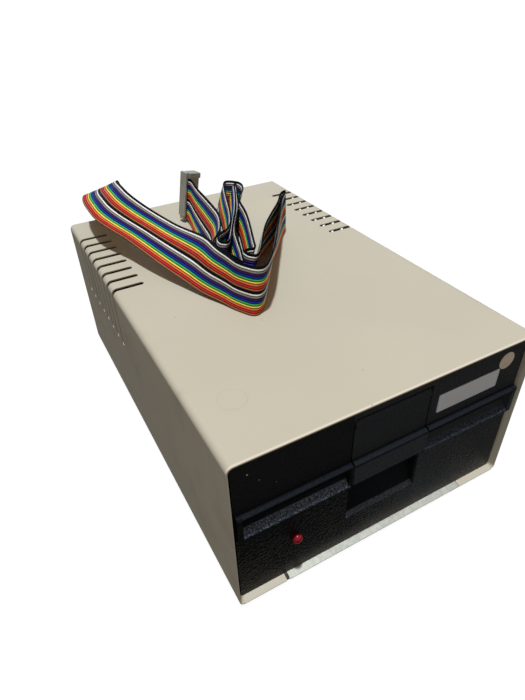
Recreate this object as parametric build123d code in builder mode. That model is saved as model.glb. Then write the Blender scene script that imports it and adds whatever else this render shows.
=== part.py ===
from build123d import *
import os
import math

os.makedirs("parts", exist_ok=True)

# ---------------------------------------------------------------- driving dimensions (mm)
FOOT_H = 2.5          # rubber feet
CASE_W = 154.0        # sheet steel case, outside
CASE_H = 89.1
CASE_D = 236.5
SHEET = 1.6
BEND_R = 3.0
EDGE_T = 0.4          # sheet thickness left at the front edge

VENT_COUNT = 8        # vent slots down each side of the case
VENT_PITCH = 10.16
VENT_FIRST = 138.0
VENT_W = 3.0
VENT_TOP_X = 59.5     # inner end of each slot on the top face
VENT_LOW_Z = 54.2     # lower end of each slot on the side face

BEZEL_HX = 74.9
BEZEL_Y = 3.0         # front face of the bezel, behind the case's front edge
BEZEL_T = 3.0
DOOR_X0, DOOR_X1 = -20.3, 18.9
DOOR_TOP = 81.3
SLOT_LOW, SLOT_HIGH = 51.0, 55.5
HINGE_Y, HINGE_Z = 5.2, 78.5

SPINDLE_Y = 78.0      # spindle axis behind the front edge, x = 0
DECK_Z, DECK_T = 36.0, 4.0
HEAD_Y = 135.2        # head at its outermost track
HEAD_TRAVEL = 20.6
ROD_X, ROD_Z, ROD_R = 20.0, 45.5, 3.0
STEP_X, STEP_Y = 33.0, 150.0
CAPSTAN_R = 8.4
BAND_T = 0.15
MOTOR_X, MOTOR_Y = -48.0, 178.0
FLYWHEEL_R, PULLEY_R = 32.0, 7.0
CLAMP_Y, CLAMP_Z = 150.0, 62.0
PAD_Y, PAD_Z = 170.0, 60.0
BOARD_Z = 66.0

RIBBON_W = 25.4       # twenty conductors at 1.27 pitch
RIBBON_T = 0.9
RIBBON_X = -43.0      # middle of the ribbon where it leaves the rear panel
RIBBON_EXIT_Z = 80.0

# the row's origin is on the floor under the middle of the case: the case's front lower edge is at Y0, Z0
Y0 = -CASE_D / 2
Z0 = FOOT_H


# working planes measured from the case's front lower edge
def xy(z):
    return Plane(origin=(0, Y0, Z0 + z), x_dir=(1, 0, 0), z_dir=(0, 0, 1))


def xz(y):
    # sketch x is X, sketch y is Z; a negative extrude goes back into the drive
    return Plane(origin=(0, Y0 + y, Z0), x_dir=(1, 0, 0), z_dir=(0, -1, 0))


def yz(x):
    # sketch x is Y, sketch y is Z; a positive extrude goes to the right
    return Plane(origin=(x, Y0, Z0), x_dir=(0, 1, 0), z_dir=(1, 0, 0))


def at(x, y, z):
    return (x, Y0 + y, Z0 + z)


# ---------------------------------------------------------------- case
with BuildPart() as outer_case:
    with BuildSketch(xz(0)):
        with Locations((0, CASE_H / 2)):
            RectangleRounded(CASE_W, CASE_H, BEND_R)
            RectangleRounded(CASE_W - 2 * SHEET, CASE_H - 2 * SHEET, BEND_R - SHEET, mode=Mode.SUBTRACT)
        with Locations((-0.7, 0)):
            Rectangle(105.0, 4.0, mode=Mode.SUBTRACT)
    extrude(amount=-CASE_D)
    for side in (-1, 1):
        with BuildSketch(xy(CASE_H - 2.7)):
            for i in range(VENT_COUNT):
                with Locations((side * (VENT_TOP_X + VENT_W / 2), VENT_FIRST + i * VENT_PITCH)):
                    Circle(VENT_W / 2)
                with Locations((side * (VENT_TOP_X + VENT_W / 2 + 9), VENT_FIRST + i * VENT_PITCH)):
                    Rectangle(18.0, VENT_W)
        extrude(amount=4, mode=Mode.SUBTRACT)
        with BuildSketch(yz(side * (CASE_W / 2 - 2.7))):
            for i in range(VENT_COUNT):
                with Locations((VENT_FIRST + i * VENT_PITCH, VENT_LOW_Z + VENT_W / 2)):
                    Circle(VENT_W / 2)
                with Locations((VENT_FIRST + i * VENT_PITCH, VENT_LOW_Z + VENT_W / 2 + 17)):
                    Rectangle(VENT_W, 34.0)
        extrude(amount=side * 4, mode=Mode.SUBTRACT)
    with BuildSketch(xy(-1)):
        with Locations((-64, 40), (64, 40), (-64, 190), (64, 190)):
            Circle(1.8)
        with Locations((-64, 24), (64, 24), (-64, 214), (64, 214)):
            Circle(2.0)
    extrude(amount=4, mode=Mode.SUBTRACT)
    # the sheet runs out to a thin edge at the front opening
    for y, t in ((0, EDGE_T), (BEZEL_Y, SHEET)):
        with BuildSketch(xz(y)):
            with Locations((0, CASE_H / 2)):
                RectangleRounded(CASE_W - 2 * t, CASE_H - 2 * t, BEND_R - t)
    loft(ruled=True, mode=Mode.SUBTRACT)
    # and is relieved on the inside behind the vents
    with BuildSketch(xz(VENT_FIRST - 5.0)):
        with Locations((0, CASE_H / 2)):
            RectangleRounded(CASE_W - 1.3, CASE_H - 1.3, BEND_R - 0.65)
            Rectangle(2 * VENT_TOP_X - 5.0, CASE_H, mode=Mode.SUBTRACT)
        with Locations((0, (VENT_LOW_Z - 3.0) / 2)):
            Rectangle(CASE_W, VENT_LOW_Z - 3.0, mode=Mode.SUBTRACT)
    extrude(amount=-((VENT_COUNT - 1) * VENT_PITCH + 10.0), mode=Mode.SUBTRACT)
outer_case.part.label = "outer_case"
export_step(outer_case.part, "parts/outer_case.step")

with BuildPart() as base_tray:
    with BuildSketch(xy(0)):
        with Locations((-0.05, CASE_D / 2)):
            Rectangle(103.1, CASE_D)
    extrude(amount=SHEET)
    with BuildSketch(xy(SHEET)):
        with Locations((0, 122)):
            Rectangle(147.6, 219.0)
            Rectangle(99.6, 220.0, mode=Mode.SUBTRACT)
    extrude(amount=SHEET)
    with BuildSketch(xy(-1)):
        with Locations((-64, 40), (64, 40), (-64, 190), (64, 190)):
            Circle(1.25)
        with Locations((-64, 24), (64, 24), (-64, 214), (64, 214)):
            Circle(2.0)
        with Locations((-66.5, 50), (66.5, 50), (-66.5, 170), (66.5, 170)):
            Circle(1.5)
    extrude(amount=6, mode=Mode.SUBTRACT)
    # a row of cooling slots under the motor
    with BuildSketch(xy(-1)):
        for i in range(5):
            with Locations((-8, 160 + 9 * i)):
                SlotOverall(36.0, 3.2)
    extrude(amount=4, mode=Mode.SUBTRACT)
    with BuildSketch(yz(-60)):
        with BuildLine():
            slope = (SHEET - EDGE_T) / BEZEL_Y
            Polyline((-0.5, EDGE_T - 0.5 * slope), (BEZEL_Y, SHEET), (BEZEL_Y, 3.0), (-0.5, 3.0), close=True)
        make_face()
    extrude(amount=120, mode=Mode.SUBTRACT)
base_tray.part.label = "base_tray"
export_step(base_tray.part, "parts/base_tray.step")

with BuildPart() as rear_panel:
    with BuildSketch(xz(233.3)):
        with Locations((0, 45.2)):
            RectangleRounded(150.2, 83.8, 1.0)
        with Locations((RIBBON_X, RIBBON_EXIT_Z)):
            Rectangle(29.0, 5.0, mode=Mode.SUBTRACT)
        for i in range(6):
            with Locations((30, 28 + 7 * i)):
                SlotOverall(46.0, 3.0, mode=Mode.SUBTRACT)
    extrude(amount=-SHEET)
    with BuildSketch(xy(2 * SHEET)):
        with Locations((0, 227.4)):
            Rectangle(138.0, 14.9)
        with Locations((-56, 224.5), (56, 224.5)):
            Circle(1.6, mode=Mode.SUBTRACT)
    extrude(amount=SHEET)
rear_panel.part.label = "rear_panel"
export_step(rear_panel.part, "parts/rear_panel.step")

with BuildPart() as case_screws:
    with BuildSketch(xy(-1.6)):
        with Locations((-64, 40), (64, 40), (-64, 190), (64, 190)):
            Circle(3.0)
    extrude(amount=1.6)
    with BuildSketch(xy(0)):
        with Locations((-64, 40), (64, 40), (-64, 190), (64, 190)):
            Circle(1.25)
    extrude(amount=3.1)
    with BuildSketch(xy(-1.6)):
        with Locations((-64, 40), (64, 40), (-64, 190), (64, 190)):
            Rectangle(3.6, 0.7)
            Rectangle(0.7, 3.6)
    extrude(amount=0.9, mode=Mode.SUBTRACT)
case_screws.part.label = "case_screws"
export_step(case_screws.part, "parts/case_screws.step")

with BuildPart() as rear_panel_screws:
    with BuildSketch(xy(3 * SHEET)):
        with Locations((-56, 224.5), (56, 224.5)):
            Circle(3.0)
    extrude(amount=2.0)
    with BuildSketch(xy(3 * SHEET - 1.5)):
        with Locations((-56, 224.5), (56, 224.5)):
            Circle(1.5)
    extrude(amount=1.5)
    with BuildSketch(xy(3 * SHEET + 1.2)):
        with Locations((-56, 224.5), (56, 224.5)):
            Rectangle(3.6, 0.7)
            Rectangle(0.7, 3.6)
    extrude(amount=1.0, mode=Mode.SUBTRACT)
rear_panel_screws.part.label = "rear_panel_screws"
export_step(rear_panel_screws.part, "parts/rear_panel_screws.step")

with BuildPart() as rubber_feet:
    with BuildSketch(xy(-FOOT_H)):
        with Locations((-64, 24), (64, 24), (-64, 214), (64, 214)):
            Circle(5.2)
    extrude(amount=FOOT_H, taper=-6)
    with BuildSketch(xy(0)):
        with Locations((-64, 24), (64, 24), (-64, 214), (64, 214)):
            Circle(2.0)
    extrude(amount=3.1)
rubber_feet.part.label = "rubber_feet"
export_step(rubber_feet.part, "parts/rubber_feet.step")

# ---------------------------------------------------------------- front bezel
with BuildPart() as front_bezel:
    with BuildSketch(xz(BEZEL_Y)):
        with Locations((0, 44.5)):
            RectangleRounded(2 * BEZEL_HX, 85.6, 1.2)
    extrude(amount=-BEZEL_T)
    # return wall round the back
    with BuildSketch(xz(BEZEL_Y + BEZEL_T)):
        with Locations((0, 44.5)):
            RectangleRounded(2 * BEZEL_HX, 85.6, 1.2)
            RectangleRounded(2 * BEZEL_HX - 3.6, 82.0, 0.8, mode=Mode.SUBTRACT)
    extrude(amount=-6.0)
    # mouth of the disk slot, either side of the door
    with BuildSketch(xz(0)):
        with Locations((-46.5, 51.0)):
            Rectangle(52.0, 12.0)
        with Locations((45.9, 51.0)):
            Rectangle(52.6, 12.0)
        with Locations((-0.7, 62.3)):
            Rectangle(40.8, 39.6)
    extrude(amount=-20, mode=Mode.SUBTRACT)
    # overhanging ridge above the slot
    for x0, x1 in ((-74.5, -21.1), (19.7, 74.5)):
        with BuildSketch(yz(x0)):
            with BuildLine():
                Polyline((9.0, 58.8), (1.9, 58.8), (0.5, 57.9), (0.5, 57.0), (2.6, 56.0), (4.0, SLOT_HIGH),
                         (9.0, SLOT_HIGH), close=True)
            make_face()
        extrude(amount=x1 - x0)
        # lower lip and its ramp up to the slot
        with BuildSketch(yz(x0)):
            with BuildLine():
                Polyline((9.0, 42.2), (3.0, 42.2), (1.4, 42.9), (0.9, 43.8), (0.9, 44.7), (1.2, 45.3), (3.9, SLOT_LOW),
                         (9.0, SLOT_LOW), close=True)
            make_face()
        extrude(amount=x1 - x0)
    # slanted ends of the mouth
    with BuildSketch(xy(43.8)):
        with BuildLine():
            Polyline((-74.5, 0.7), (-72.3, 0.7), (-69.0, 7.6), (-69.0, 9.0), (-74.5, 9.0), close=True)
        make_face()
        with BuildLine():
            Polyline((74.5, 0.7), (72.3, 0.7), (69.0, 7.6), (69.0, 9.0), (74.5, 9.0), close=True)
        make_face()
        with BuildLine():
            Polyline((-21.1, 1.3), (-22.1, 1.3), (-24.2, 7.6), (-24.2, 9.0), (-21.1, 9.0), close=True)
        make_face()
        with BuildLine():
            Polyline((19.7, 1.3), (20.7, 1.3), (22.8, 7.6), (22.8, 9.0), (19.7, 9.0), close=True)
        make_face()
    extrude(amount=15.0)
    # finger recess under the door
    with BuildSketch(yz(-22.4)):
        with BuildLine():
            Polyline((3.0, 17.8), (6.2, 17.8), (10.6, 29.9), (15.4, 42.1), (15.4, 43.6), (3.0, 43.6), close=True)
        make_face()
    extrude(amount=43.4)
    with BuildSketch(yz(-20.5)):
        with BuildLine():
            Polyline((2.0, 19.7), (3.0, 19.7), (5.0, 21.4), (8.9, 30.8), (13.6, 42.2), (13.6, 46.0), (2.0, 46.0),
                     close=True)
        make_face()
    extrude(amount=39.6, mode=Mode.SUBTRACT)
    with BuildSketch(yz(-21.1)):
        with BuildLine():
            Polyline((6.2, 42.6), (16.0, 42.6), (16.0, 46.0), (6.2, 46.0), close=True)
        make_face()
    extrude(amount=40.8, mode=Mode.SUBTRACT)
    # ears for the door's hinge pin
    for x0 in (-24.1, 20.1):
        with BuildSketch(yz(x0)):
            with Locations((HINGE_Y + 0.9, HINGE_Z)):
                RectangleRounded(5.6, 8.0, 1.5)
        extrude(amount=2.6)
    with BuildSketch(yz(-24.1)):
        with Locations((HINGE_Y, HINGE_Z)):
            Circle(1.5)
    extrude(amount=48.0, mode=Mode.SUBTRACT)
    with BuildSketch(yz(-21.1)):
        with Locations((HINGE_Y, HINGE_Z)):
            Circle(4.2)
    extrude(amount=40.8, mode=Mode.SUBTRACT)
    # lamp hole and its sleeve
    with BuildSketch(xz(BEZEL_Y + BEZEL_T)):
        with Locations((-46.8, 25.0)):
            Circle(4.4)
    extrude(amount=-3.0)
    with BuildSketch(xz(0)):
        with Locations((-46.8, 25.0)):
            Circle(2.65)
    extrude(amount=-12, mode=Mode.SUBTRACT)
    # screw bosses
    with BuildSketch(xz(BEZEL_Y + BEZEL_T)):
        with Locations((-66, 12), (66, 12), (-66, 66), (66, 66)):
            Circle(3.6)
            Circle(1.3, mode=Mode.SUBTRACT)
    extrude(amount=-10.0)
    # locating rib that fills the joint between the case's bottom flange and the tray
    with BuildSketch(yz(-53.0)):
        with BuildLine():
            Polyline((0.2, 0.1), (5.0, 0.1), (5.0, 2.4), (3.0, 2.4), (3.0, 1.5), (0.2, 0.4), close=True)
        make_face()
    extrude(amount=1.2)
front_bezel.part.label = "front_bezel"
export_step(front_bezel.part, "parts/front_bezel.step")

with BuildPart() as nameplate:
    with BuildSketch(xz(BEZEL_Y)):
        with Locations((42.2, 69.4)):
            RectangleRounded(36.0, 10.0, 0.4)
    extrude(amount=0.4)
    chamfer(nameplate.faces().sort_by(Axis.Y)[0].edges(), 0.12)
nameplate.part.label = "nameplate"
export_step(nameplate.part, "parts/nameplate.step")

with BuildPart() as dot_sticker:
    with BuildSketch(xz(BEZEL_Y)):
        with Locations((63.7, 77.5)):
            Circle(4.5)
    extrude(amount=0.15)
dot_sticker.part.label = "dot_sticker"
export_step(dot_sticker.part, "parts/dot_sticker.step")

with BuildPart() as indicator_led:
    with BuildSketch(xz(0.1)):
        with Locations((-46.8, 25.0)):
            Circle(2.5)
    extrude(amount=-10.1)
    fillet(indicator_led.edges().filter_by(GeomType.CIRCLE).sort_by(Axis.Y)[0], 2.4)
    with BuildSketch(xz(9.2)):
        with Locations((-46.8, 25.0)):
            Circle(3.0)
    extrude(amount=-1.0)
indicator_led.part.label = "indicator_led"
export_step(indicator_led.part, "parts/indicator_led.step")

with BuildPart() as led_legs:
    with BuildSketch(xz(10.2)):
        with Locations((-48.07, 25.0), (-45.53, 25.0)):
            Rectangle(0.5, 0.5)
    extrude(amount=-9.0)
led_legs.part.label = "led_legs"
export_step(led_legs.part, "parts/led_legs.step")

# ---------------------------------------------------------------- door
with BuildPart() as door:
    with BuildSketch(xz(BEZEL_Y)):
        with Locations(((DOOR_X0 + DOOR_X1) / 2, 66.0)):
            Rectangle(DOOR_X1 - DOOR_X0, 30.6)
    extrude(amount=-2.8)
    fillet(door.edges().filter_by(Axis.Y).group_by(Axis.Z)[-1], 2.5)
    # overhanging grip: the same ledge as the ridge on the bezel, then a flat lip
    with BuildSketch(yz(DOOR_X0)):
        with BuildLine():
            Polyline((3.2, 58.8), (1.7, 58.8), (0.3, 57.9), (0.2, 46.1), (0.7, 45.5), (5.6, 45.5), (5.6, 58.8), close=True)
        make_face()
    extrude(amount=DOOR_X1 - DOOR_X0)
    # hollow behind the lip
    with BuildSketch(yz(DOOR_X0 + 2.0)):
        with BuildLine():
            Polyline((2.4, 44.0), (7.0, 44.0), (7.0, 56.6), (2.4, 56.6), close=True)
        make_face()
    extrude(amount=DOOR_X1 - DOOR_X0 - 4.0, mode=Mode.SUBTRACT)
    # hinge barrel and the rib that holds the clamp arm down
    with BuildSketch(yz(DOOR_X0 + 0.3)):
        with Locations((HINGE_Y, HINGE_Z)):
            Circle(2.9)
    extrude(amount=DOOR_X1 - DOOR_X0 - 0.6)
    with BuildSketch(yz(-7.0)):
        with BuildLine():
            Polyline((5.4, 74.5), (HINGE_Y + 3.6, 74.5), (HINGE_Y + 4.0, 72.0), (HINGE_Y + 4.0, 59.9), (HINGE_Y + 3.4, 59.5),
                     (HINGE_Y + 1.0, 59.5), (5.4, 60.4), close=True)
        make_face()
    extrude(amount=14.0)
    with BuildSketch(yz(DOOR_X0 - 1)):
        with Locations((HINGE_Y, HINGE_Z)):
            Circle(1.55)
    extrude(amount=DOOR_X1 - DOOR_X0 + 2, mode=Mode.SUBTRACT)
door.part.label = "door"
export_step(door.part, "parts/door.step")

with BuildPart() as door_hinge_pin:
    with BuildSketch(yz(-24.1)):
        with Locations((HINGE_Y, HINGE_Z)):
            Circle(1.5)
    extrude(amount=46.8)
door_hinge_pin.part.label = "door_hinge_pin"
export_step(door_hinge_pin.part, "parts/door_hinge_pin.step")

# ---------------------------------------------------------------- chassis
with BuildPart() as chassis:
    with BuildSketch(xy(DECK_Z)):
        with Locations((0, 114)):
            Rectangle(146.0, 196.0)
        with Locations((STEP_X, STEP_Y)):
            Circle(6.5, mode=Mode.SUBTRACT)
        with Locations((MOTOR_X, MOTOR_Y)):
            Circle(5.0, mode=Mode.SUBTRACT)
        with Locations((-40, 44), (40, 44)):
            RectangleRounded(34.0, 26.0, 4.0, mode=Mode.SUBTRACT)
        with Locations((0, 28)):
            RectangleRounded(34.0, 14.0, 4.0, mode=Mode.SUBTRACT)
    extrude(amount=DECK_T)
    for side in (-1, 1):
        with BuildSketch(xy(2 * SHEET)):
            with Locations((side * 71.5, 114)):
                Rectangle(3.0, 196.0)
        extrude(amount=58.0)
        # front ears that carry the bezel
        with BuildSketch(xy(7.0)):
            with Locations((side * 66.5, 17.2)):
                Rectangle(13.0, 2.4)
        extrude(amount=10.0)
        with BuildSketch(xy(60.8)):
            with Locations((side * 66.5, 17.2)):
                Rectangle(13.0, 2.4)
            with Locations((side * 71.5, 24.0)):
                Rectangle(3.0, 16.0)
        extrude(amount=10.4)
        # feet turned in along the bottom of the rails
        with BuildSketch(xy(2 * SHEET)):
            with Locations((side * 68.5, 50), (side * 68.5, 170)):
                Rectangle(9.0, 14.0)
        extrude(amount=3.0)
        # posts for the clamp arm's pivot
        with BuildSketch(xy(DECK_Z + DECK_T)):
            with Locations((side * 47.0, CLAMP_Y)):
                RectangleRounded(5.0, 12.0, 1.5)
        extrude(amount=26.5)
    # stiffening ribs under the deck
    with BuildSketch(xy(DECK_Z - 5.0)):
        with Locations((0, 18.2), (0, 206)):
            Rectangle(140.0, 3.0)
    extrude(amount=5.0)
    with BuildSketch(xy(26.0)):
        with Locations((0, SPINDLE_Y)):
            Circle(14.0)
    extrude(amount=12.0)
    with BuildSketch(xy(20.0)):
        with Locations((0, SPINDLE_Y)):
            Circle(9.5)
    extrude(amount=30.0, mode=Mode.SUBTRACT)
    with BuildSketch(yz(-80)):
        with Locations((CLAMP_Y, CLAMP_Z)):
            Circle(2.0)
    extrude(amount=160.0, mode=Mode.SUBTRACT)
    # screw holes through the front ears and the feet
    with BuildSketch(xz(10)):
        with Locations((-66, 12), (66, 12), (-66, 66), (66, 66)):
            Circle(1.7)
    extrude(amount=-12.0, mode=Mode.SUBTRACT)
    with BuildSketch(xy(0)):
        with Locations((-66.5, 50), (66.5, 50), (-66.5, 170), (66.5, 170)):
            Circle(1.6)
    extrude(amount=10.0, mode=Mode.SUBTRACT)
chassis.part.label = "chassis"
export_step(chassis.part, "parts/chassis.step")

with BuildPart() as bezel_screws:
    with BuildSketch(xz(18.4)):
        with Locations((-66, 12), (66, 12), (-66, 66), (66, 66)):
            Circle(2.8)
    extrude(amount=-2.0)
    with BuildSketch(xz(18.4)):
        with Locations((-66, 12), (66, 12), (-66, 66), (66, 66)):
            Circle(1.3)
    extrude(amount=11.0)
    with BuildSketch(xz(20.4)):
        with Locations((-66, 12), (66, 12), (-66, 66), (66, 66)):
            Rectangle(3.4, 0.7)
            Rectangle(0.7, 3.4)
    extrude(amount=1.0, mode=Mode.SUBTRACT)
bezel_screws.part.label = "bezel_screws"
export_step(bezel_screws.part, "parts/bezel_screws.step")

with BuildPart() as chassis_screws:
    with BuildSketch(xy(6.2)):
        with Locations((-66.5, 50), (66.5, 50), (-66.5, 170), (66.5, 170)):
            Circle(2.8)
    extrude(amount=2.0)
    with BuildSketch(xy(3.3)):
        with Locations((-66.5, 50), (66.5, 50), (-66.5, 170), (66.5, 170)):
            Circle(1.5)
    extrude(amount=2.9)
chassis_screws.part.label = "chassis_screws"
export_step(chassis_screws.part, "parts/chassis_screws.step")

for side, word in ((-1, "left"), (1, "right")):
    with BuildPart() as disk_guide:
        with BuildSketch(xz(10)):
            with BuildLine():
                Polyline((side * 70, 40.0), (side * 70, 58.0), (side * 62, 58.0), (side * 62, 56.0), (side * 67.3, 55.8),
                         (side * 67.3, 50.9), (side * 62, 50.7), (side * 62, 49.0), (side * 66, 49.0), (side * 66, 40.0),
                         close=True)
            make_face()
        extrude(amount=-130.0)
        # the foot starts behind the bezel's bosses
        with BuildSketch(xz(0)):
            with Locations((side * 68, 42.0)):
                Rectangle(6.0, 12.0)
        extrude(amount=-16.0, mode=Mode.SUBTRACT)
        with BuildSketch(xy(45)):
            with Locations((side * 62.0, 10.0)):
                Rectangle(5.0, 5.0, rotation=45)
        extrude(amount=20.0, mode=Mode.SUBTRACT)
    disk_guide.part.label = "disk_guide_" + word
    export_step(disk_guide.part, "parts/disk_guide_" + word + ".step")

# ---------------------------------------------------------------- spindle and its drive
with BuildPart() as spindle_bearings:
    with BuildSketch(xy(27.0)):
        with Locations((0, SPINDLE_Y)):
            Circle(9.5)
            Circle(3.05, mode=Mode.SUBTRACT)
    extrude(amount=5.5)
    with BuildSketch(xy(34.0)):
        with Locations((0, SPINDLE_Y)):
            Circle(9.5)
            Circle(3.05, mode=Mode.SUBTRACT)
    extrude(amount=5.5)
spindle_bearings.part.label = "spindle_bearings"
export_step(spindle_bearings.part, "parts/spindle_bearings.step")

with BuildPart() as spindle_hub:
    with BuildSketch(Plane(origin=at(0, SPINDLE_Y, 0), x_dir=(1, 0, 0), z_dir=(0, -1, 0))):
        with BuildLine():
            Polyline((0, 11.0), (3.0, 11.0), (3.0, 41.0), (16.0, 42.5), (19.0, 44.5), (19.0, 50.2), (18.4, 50.8),
                     (15.4, 50.8), (14.0, 50.2), (12.2, 46.0), (0, 46.0), close=True)
        make_face()
    revolve(axis=Axis(at(0, SPINDLE_Y, 0), (0, 0, 1)))
spindle_hub.part.label = "spindle_hub"
export_step(spindle_hub.part, "parts/spindle_hub.step")

with BuildPart() as flywheel:
    with BuildSketch(Plane(origin=at(0, SPINDLE_Y, 0), x_dir=(1, 0, 0), z_dir=(0, -1, 0))):
        with BuildLine():
            Polyline((3.0, 12.0), (FLYWHEEL_R - 1.5, 12.0), (FLYWHEEL_R, 12.6), (FLYWHEEL_R, 20.4), (FLYWHEEL_R - 1.5, 21.0),
                     (FLYWHEEL_R - 5, 21.0), (FLYWHEEL_R - 6, 16.0), (9.0, 16.0), (7.0, 22.0), (3.0, 22.0), close=True)
        make_face()
    revolve(axis=Axis(at(0, SPINDLE_Y, 0), (0, 0, 1)))
    with BuildSketch(xy(10)):
        with Locations((0, SPINDLE_Y)):
            with PolarLocations(17.5, 5):
                Circle(4.2)
    extrude(amount=8.0, mode=Mode.SUBTRACT)
flywheel.part.label = "flywheel"
export_step(flywheel.part, "parts/flywheel.step")

with BuildPart() as strobe_disc:
    with BuildSketch(xy(11.4)):
        with Locations((0, SPINDLE_Y)):
            Circle(25.0)
            Circle(23.0, mode=Mode.SUBTRACT)
    extrude(amount=0.6)
    with BuildSketch(xy(11.4)):
        with Locations((0, SPINDLE_Y)):
            with PolarLocations(25.0, 40):
                Rectangle(1.4, 1.2)
    extrude(amount=0.3, mode=Mode.SUBTRACT)
strobe_disc.part.label = "strobe_disc"
export_step(strobe_disc.part, "parts/strobe_disc.step")

with BuildPart() as drive_motor:
    with BuildSketch(xy(DECK_Z + DECK_T)):
        with Locations((MOTOR_X, MOTOR_Y)):
            Circle(17.0)
    extrude(amount=21.5)
    fillet(drive_motor.edges().filter_by(GeomType.CIRCLE).group_by(Axis.Z)[-1], 1.5)
    with BuildSketch(xy(DECK_Z - 1.0)):
        with Locations((MOTOR_X, MOTOR_Y)):
            Circle(4.8)
    extrude(amount=5.0)
    with BuildSketch(xy(DECK_Z - 2.0)):
        with Locations((MOTOR_X, MOTOR_Y)):
            Circle(1.55)
    extrude(amount=20.0, mode=Mode.SUBTRACT)
drive_motor.part.label = "drive_motor"
export_step(drive_motor.part, "parts/drive_motor.step")

with BuildPart() as motor_pulley:
    with BuildSketch(Plane(origin=at(MOTOR_X, MOTOR_Y, 0), x_dir=(1, 0, 0), z_dir=(0, -1, 0))):
        with BuildLine():
            Polyline((0, 10.0), (PULLEY_R + 1.6, 10.0), (PULLEY_R + 1.6, 11.4), (PULLEY_R, 12.2), (PULLEY_R, 20.8),
                     (PULLEY_R + 1.6, 21.6), (PULLEY_R + 1.6, 23.0), (4.0, 23.0), (4.0, 27.0), (1.5, 27.0), (1.5, 50.0),
                     (0, 50.0), close=True)
        make_face()
    revolve(axis=Axis(at(MOTOR_X, MOTOR_Y, 0), (0, 0, 1)))
motor_pulley.part.label = "motor_pulley"
export_step(motor_pulley.part, "parts/motor_pulley.step")

# flat belt: a loop round both pulleys, standing 0.3 off them
BELT_GAP, BELT_T = 0.3, 0.7
bx, by = MOTOR_X, MOTOR_Y - SPINDLE_Y
bd = math.hypot(bx, by)
ba = math.acos((FLYWHEEL_R - PULLEY_R) / bd)
bu = math.atan2(by, bx)


def belt_points(extra):
    out = []
    for r, cx, cy in ((FLYWHEEL_R + extra, 0, SPINDLE_Y), (PULLEY_R + extra, MOTOR_X, MOTOR_Y)):
        for sgn in (1, -1):
            out.append((cx + r * math.cos(bu + sgn * ba), cy + r * math.sin(bu + sgn * ba)))
    return out


with BuildPart() as drive_belt:
    with BuildSketch(xy(13.0)):
        for extra, mode in ((BELT_GAP + BELT_T, Mode.ADD), (BELT_GAP, Mode.SUBTRACT)):
            f1, f2, m1, m2 = belt_points(extra)
            with BuildLine():
                Line(f1, m1)
                ThreePointArc(m1, (MOTOR_X + (PULLEY_R + extra) * math.cos(bu), MOTOR_Y + (PULLEY_R + extra) * math.sin(bu)), m2)
                Line(m2, f2)
                ThreePointArc(f2, (-(FLYWHEEL_R + extra) * math.cos(bu), SPINDLE_Y - (FLYWHEEL_R + extra) * math.sin(bu)), f1)
            make_face(mode=mode)
    extrude(amount=7.0)
drive_belt.part.label = "drive_belt"
export_step(drive_belt.part, "parts/drive_belt.step")

# ---------------------------------------------------------------- head carriage and its drive
with BuildPart() as guide_rods:
    with BuildSketch(xz(101.5)):
        with Locations((-ROD_X, ROD_Z), (ROD_X, ROD_Z)):
            Circle(ROD_R)
    extrude(amount=-96.5)
guide_rods.part.label = "guide_rods"
export_step(guide_rods.part, "parts/guide_rods.step")

with BuildPart() as rod_supports:
    for y in (101.5, 192.0):
        with BuildSketch(xz(y)):
            with Locations((0, 44.75)):
                Rectangle(52.0, 9.5)
            with Locations((-ROD_X, ROD_Z), (ROD_X, ROD_Z)):
                Circle(ROD_R, mode=Mode.SUBTRACT)
            with Locations((0, 49.0)):
                Rectangle(26.0, 8.0, mode=Mode.SUBTRACT)
        extrude(amount=-4.5 if y < 150 else -6.0)
rod_supports.part.label = "rod_supports"
export_step(rod_supports.part, "parts/rod_supports.step")

with BuildPart() as head_carriage:
    with BuildSketch(xy(41.5)):
        with Locations((0, 156.5)):
            Rectangle(24.0, 59.0)
        with Locations((0, 134.0), (0, 181.0)):
            Rectangle(48.0, 11.0)
        with Locations((0, 158.0)):
            Circle(4.0, mode=Mode.SUBTRACT)
    extrude(amount=5.5)
    with BuildSketch(xy(47.0)):
        with Locations((0, 134.0), (0, 181.0)):
            Rectangle(48.0, 11.0)
        with Locations((0, 140.0)):
            Rectangle(24.0, 22.0)
    extrude(amount=2.5)
    # post that carries the pressure pad's arm
    with BuildSketch(xy(47.0)):
        with Locations((-5.0, PAD_Y), (5.0, PAD_Y)):
            Rectangle(3.0, 8.0)
        with Locations((0, PAD_Y + 5.0)):
            Rectangle(13.0, 3.0)
    extrude(amount=9.0)
    with BuildSketch(xy(56.0)):
        with Locations((-5.0, PAD_Y), (5.0, PAD_Y)):
            Rectangle(3.0, 8.0)
    extrude(amount=7.0)
    with BuildSketch(yz(-7)):
        with Locations((PAD_Y, PAD_Z)):
            Circle(1.0)
    extrude(amount=14.0, mode=Mode.SUBTRACT)
    with BuildSketch(xz(120)):
        with Locations((-ROD_X, ROD_Z), (ROD_X, ROD_Z)):
            Circle(ROD_R + 0.05)
    extrude(amount=-80.0, mode=Mode.SUBTRACT)
    # seat of the head
    with BuildSketch(xy(46.0)):
        with Locations((0, HEAD_Y)):
            Circle(6.0)
    extrude(amount=6.0, mode=Mode.SUBTRACT)
head_carriage.part.label = "head_carriage"
export_step(head_carriage.part, "parts/head_carriage.step")

with BuildPart() as read_write_head:
    with BuildSketch(xy(46.0)):
        with Locations((0, HEAD_Y)):
            Circle(6.0)
    extrude(amount=6.4)
    fillet(read_write_head.edges().filter_by(GeomType.CIRCLE).group_by(Axis.Z)[-1], 1.0)
    with BuildSketch(xy(52.2)):
        with Locations((-1.2, HEAD_Y), (1.2, HEAD_Y)):
            Rectangle(0.5, 7.0)
    extrude(amount=1.0, mode=Mode.SUBTRACT)
read_write_head.part.label = "read_write_head"
export_step(read_write_head.part, "parts/read_write_head.step")

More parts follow.
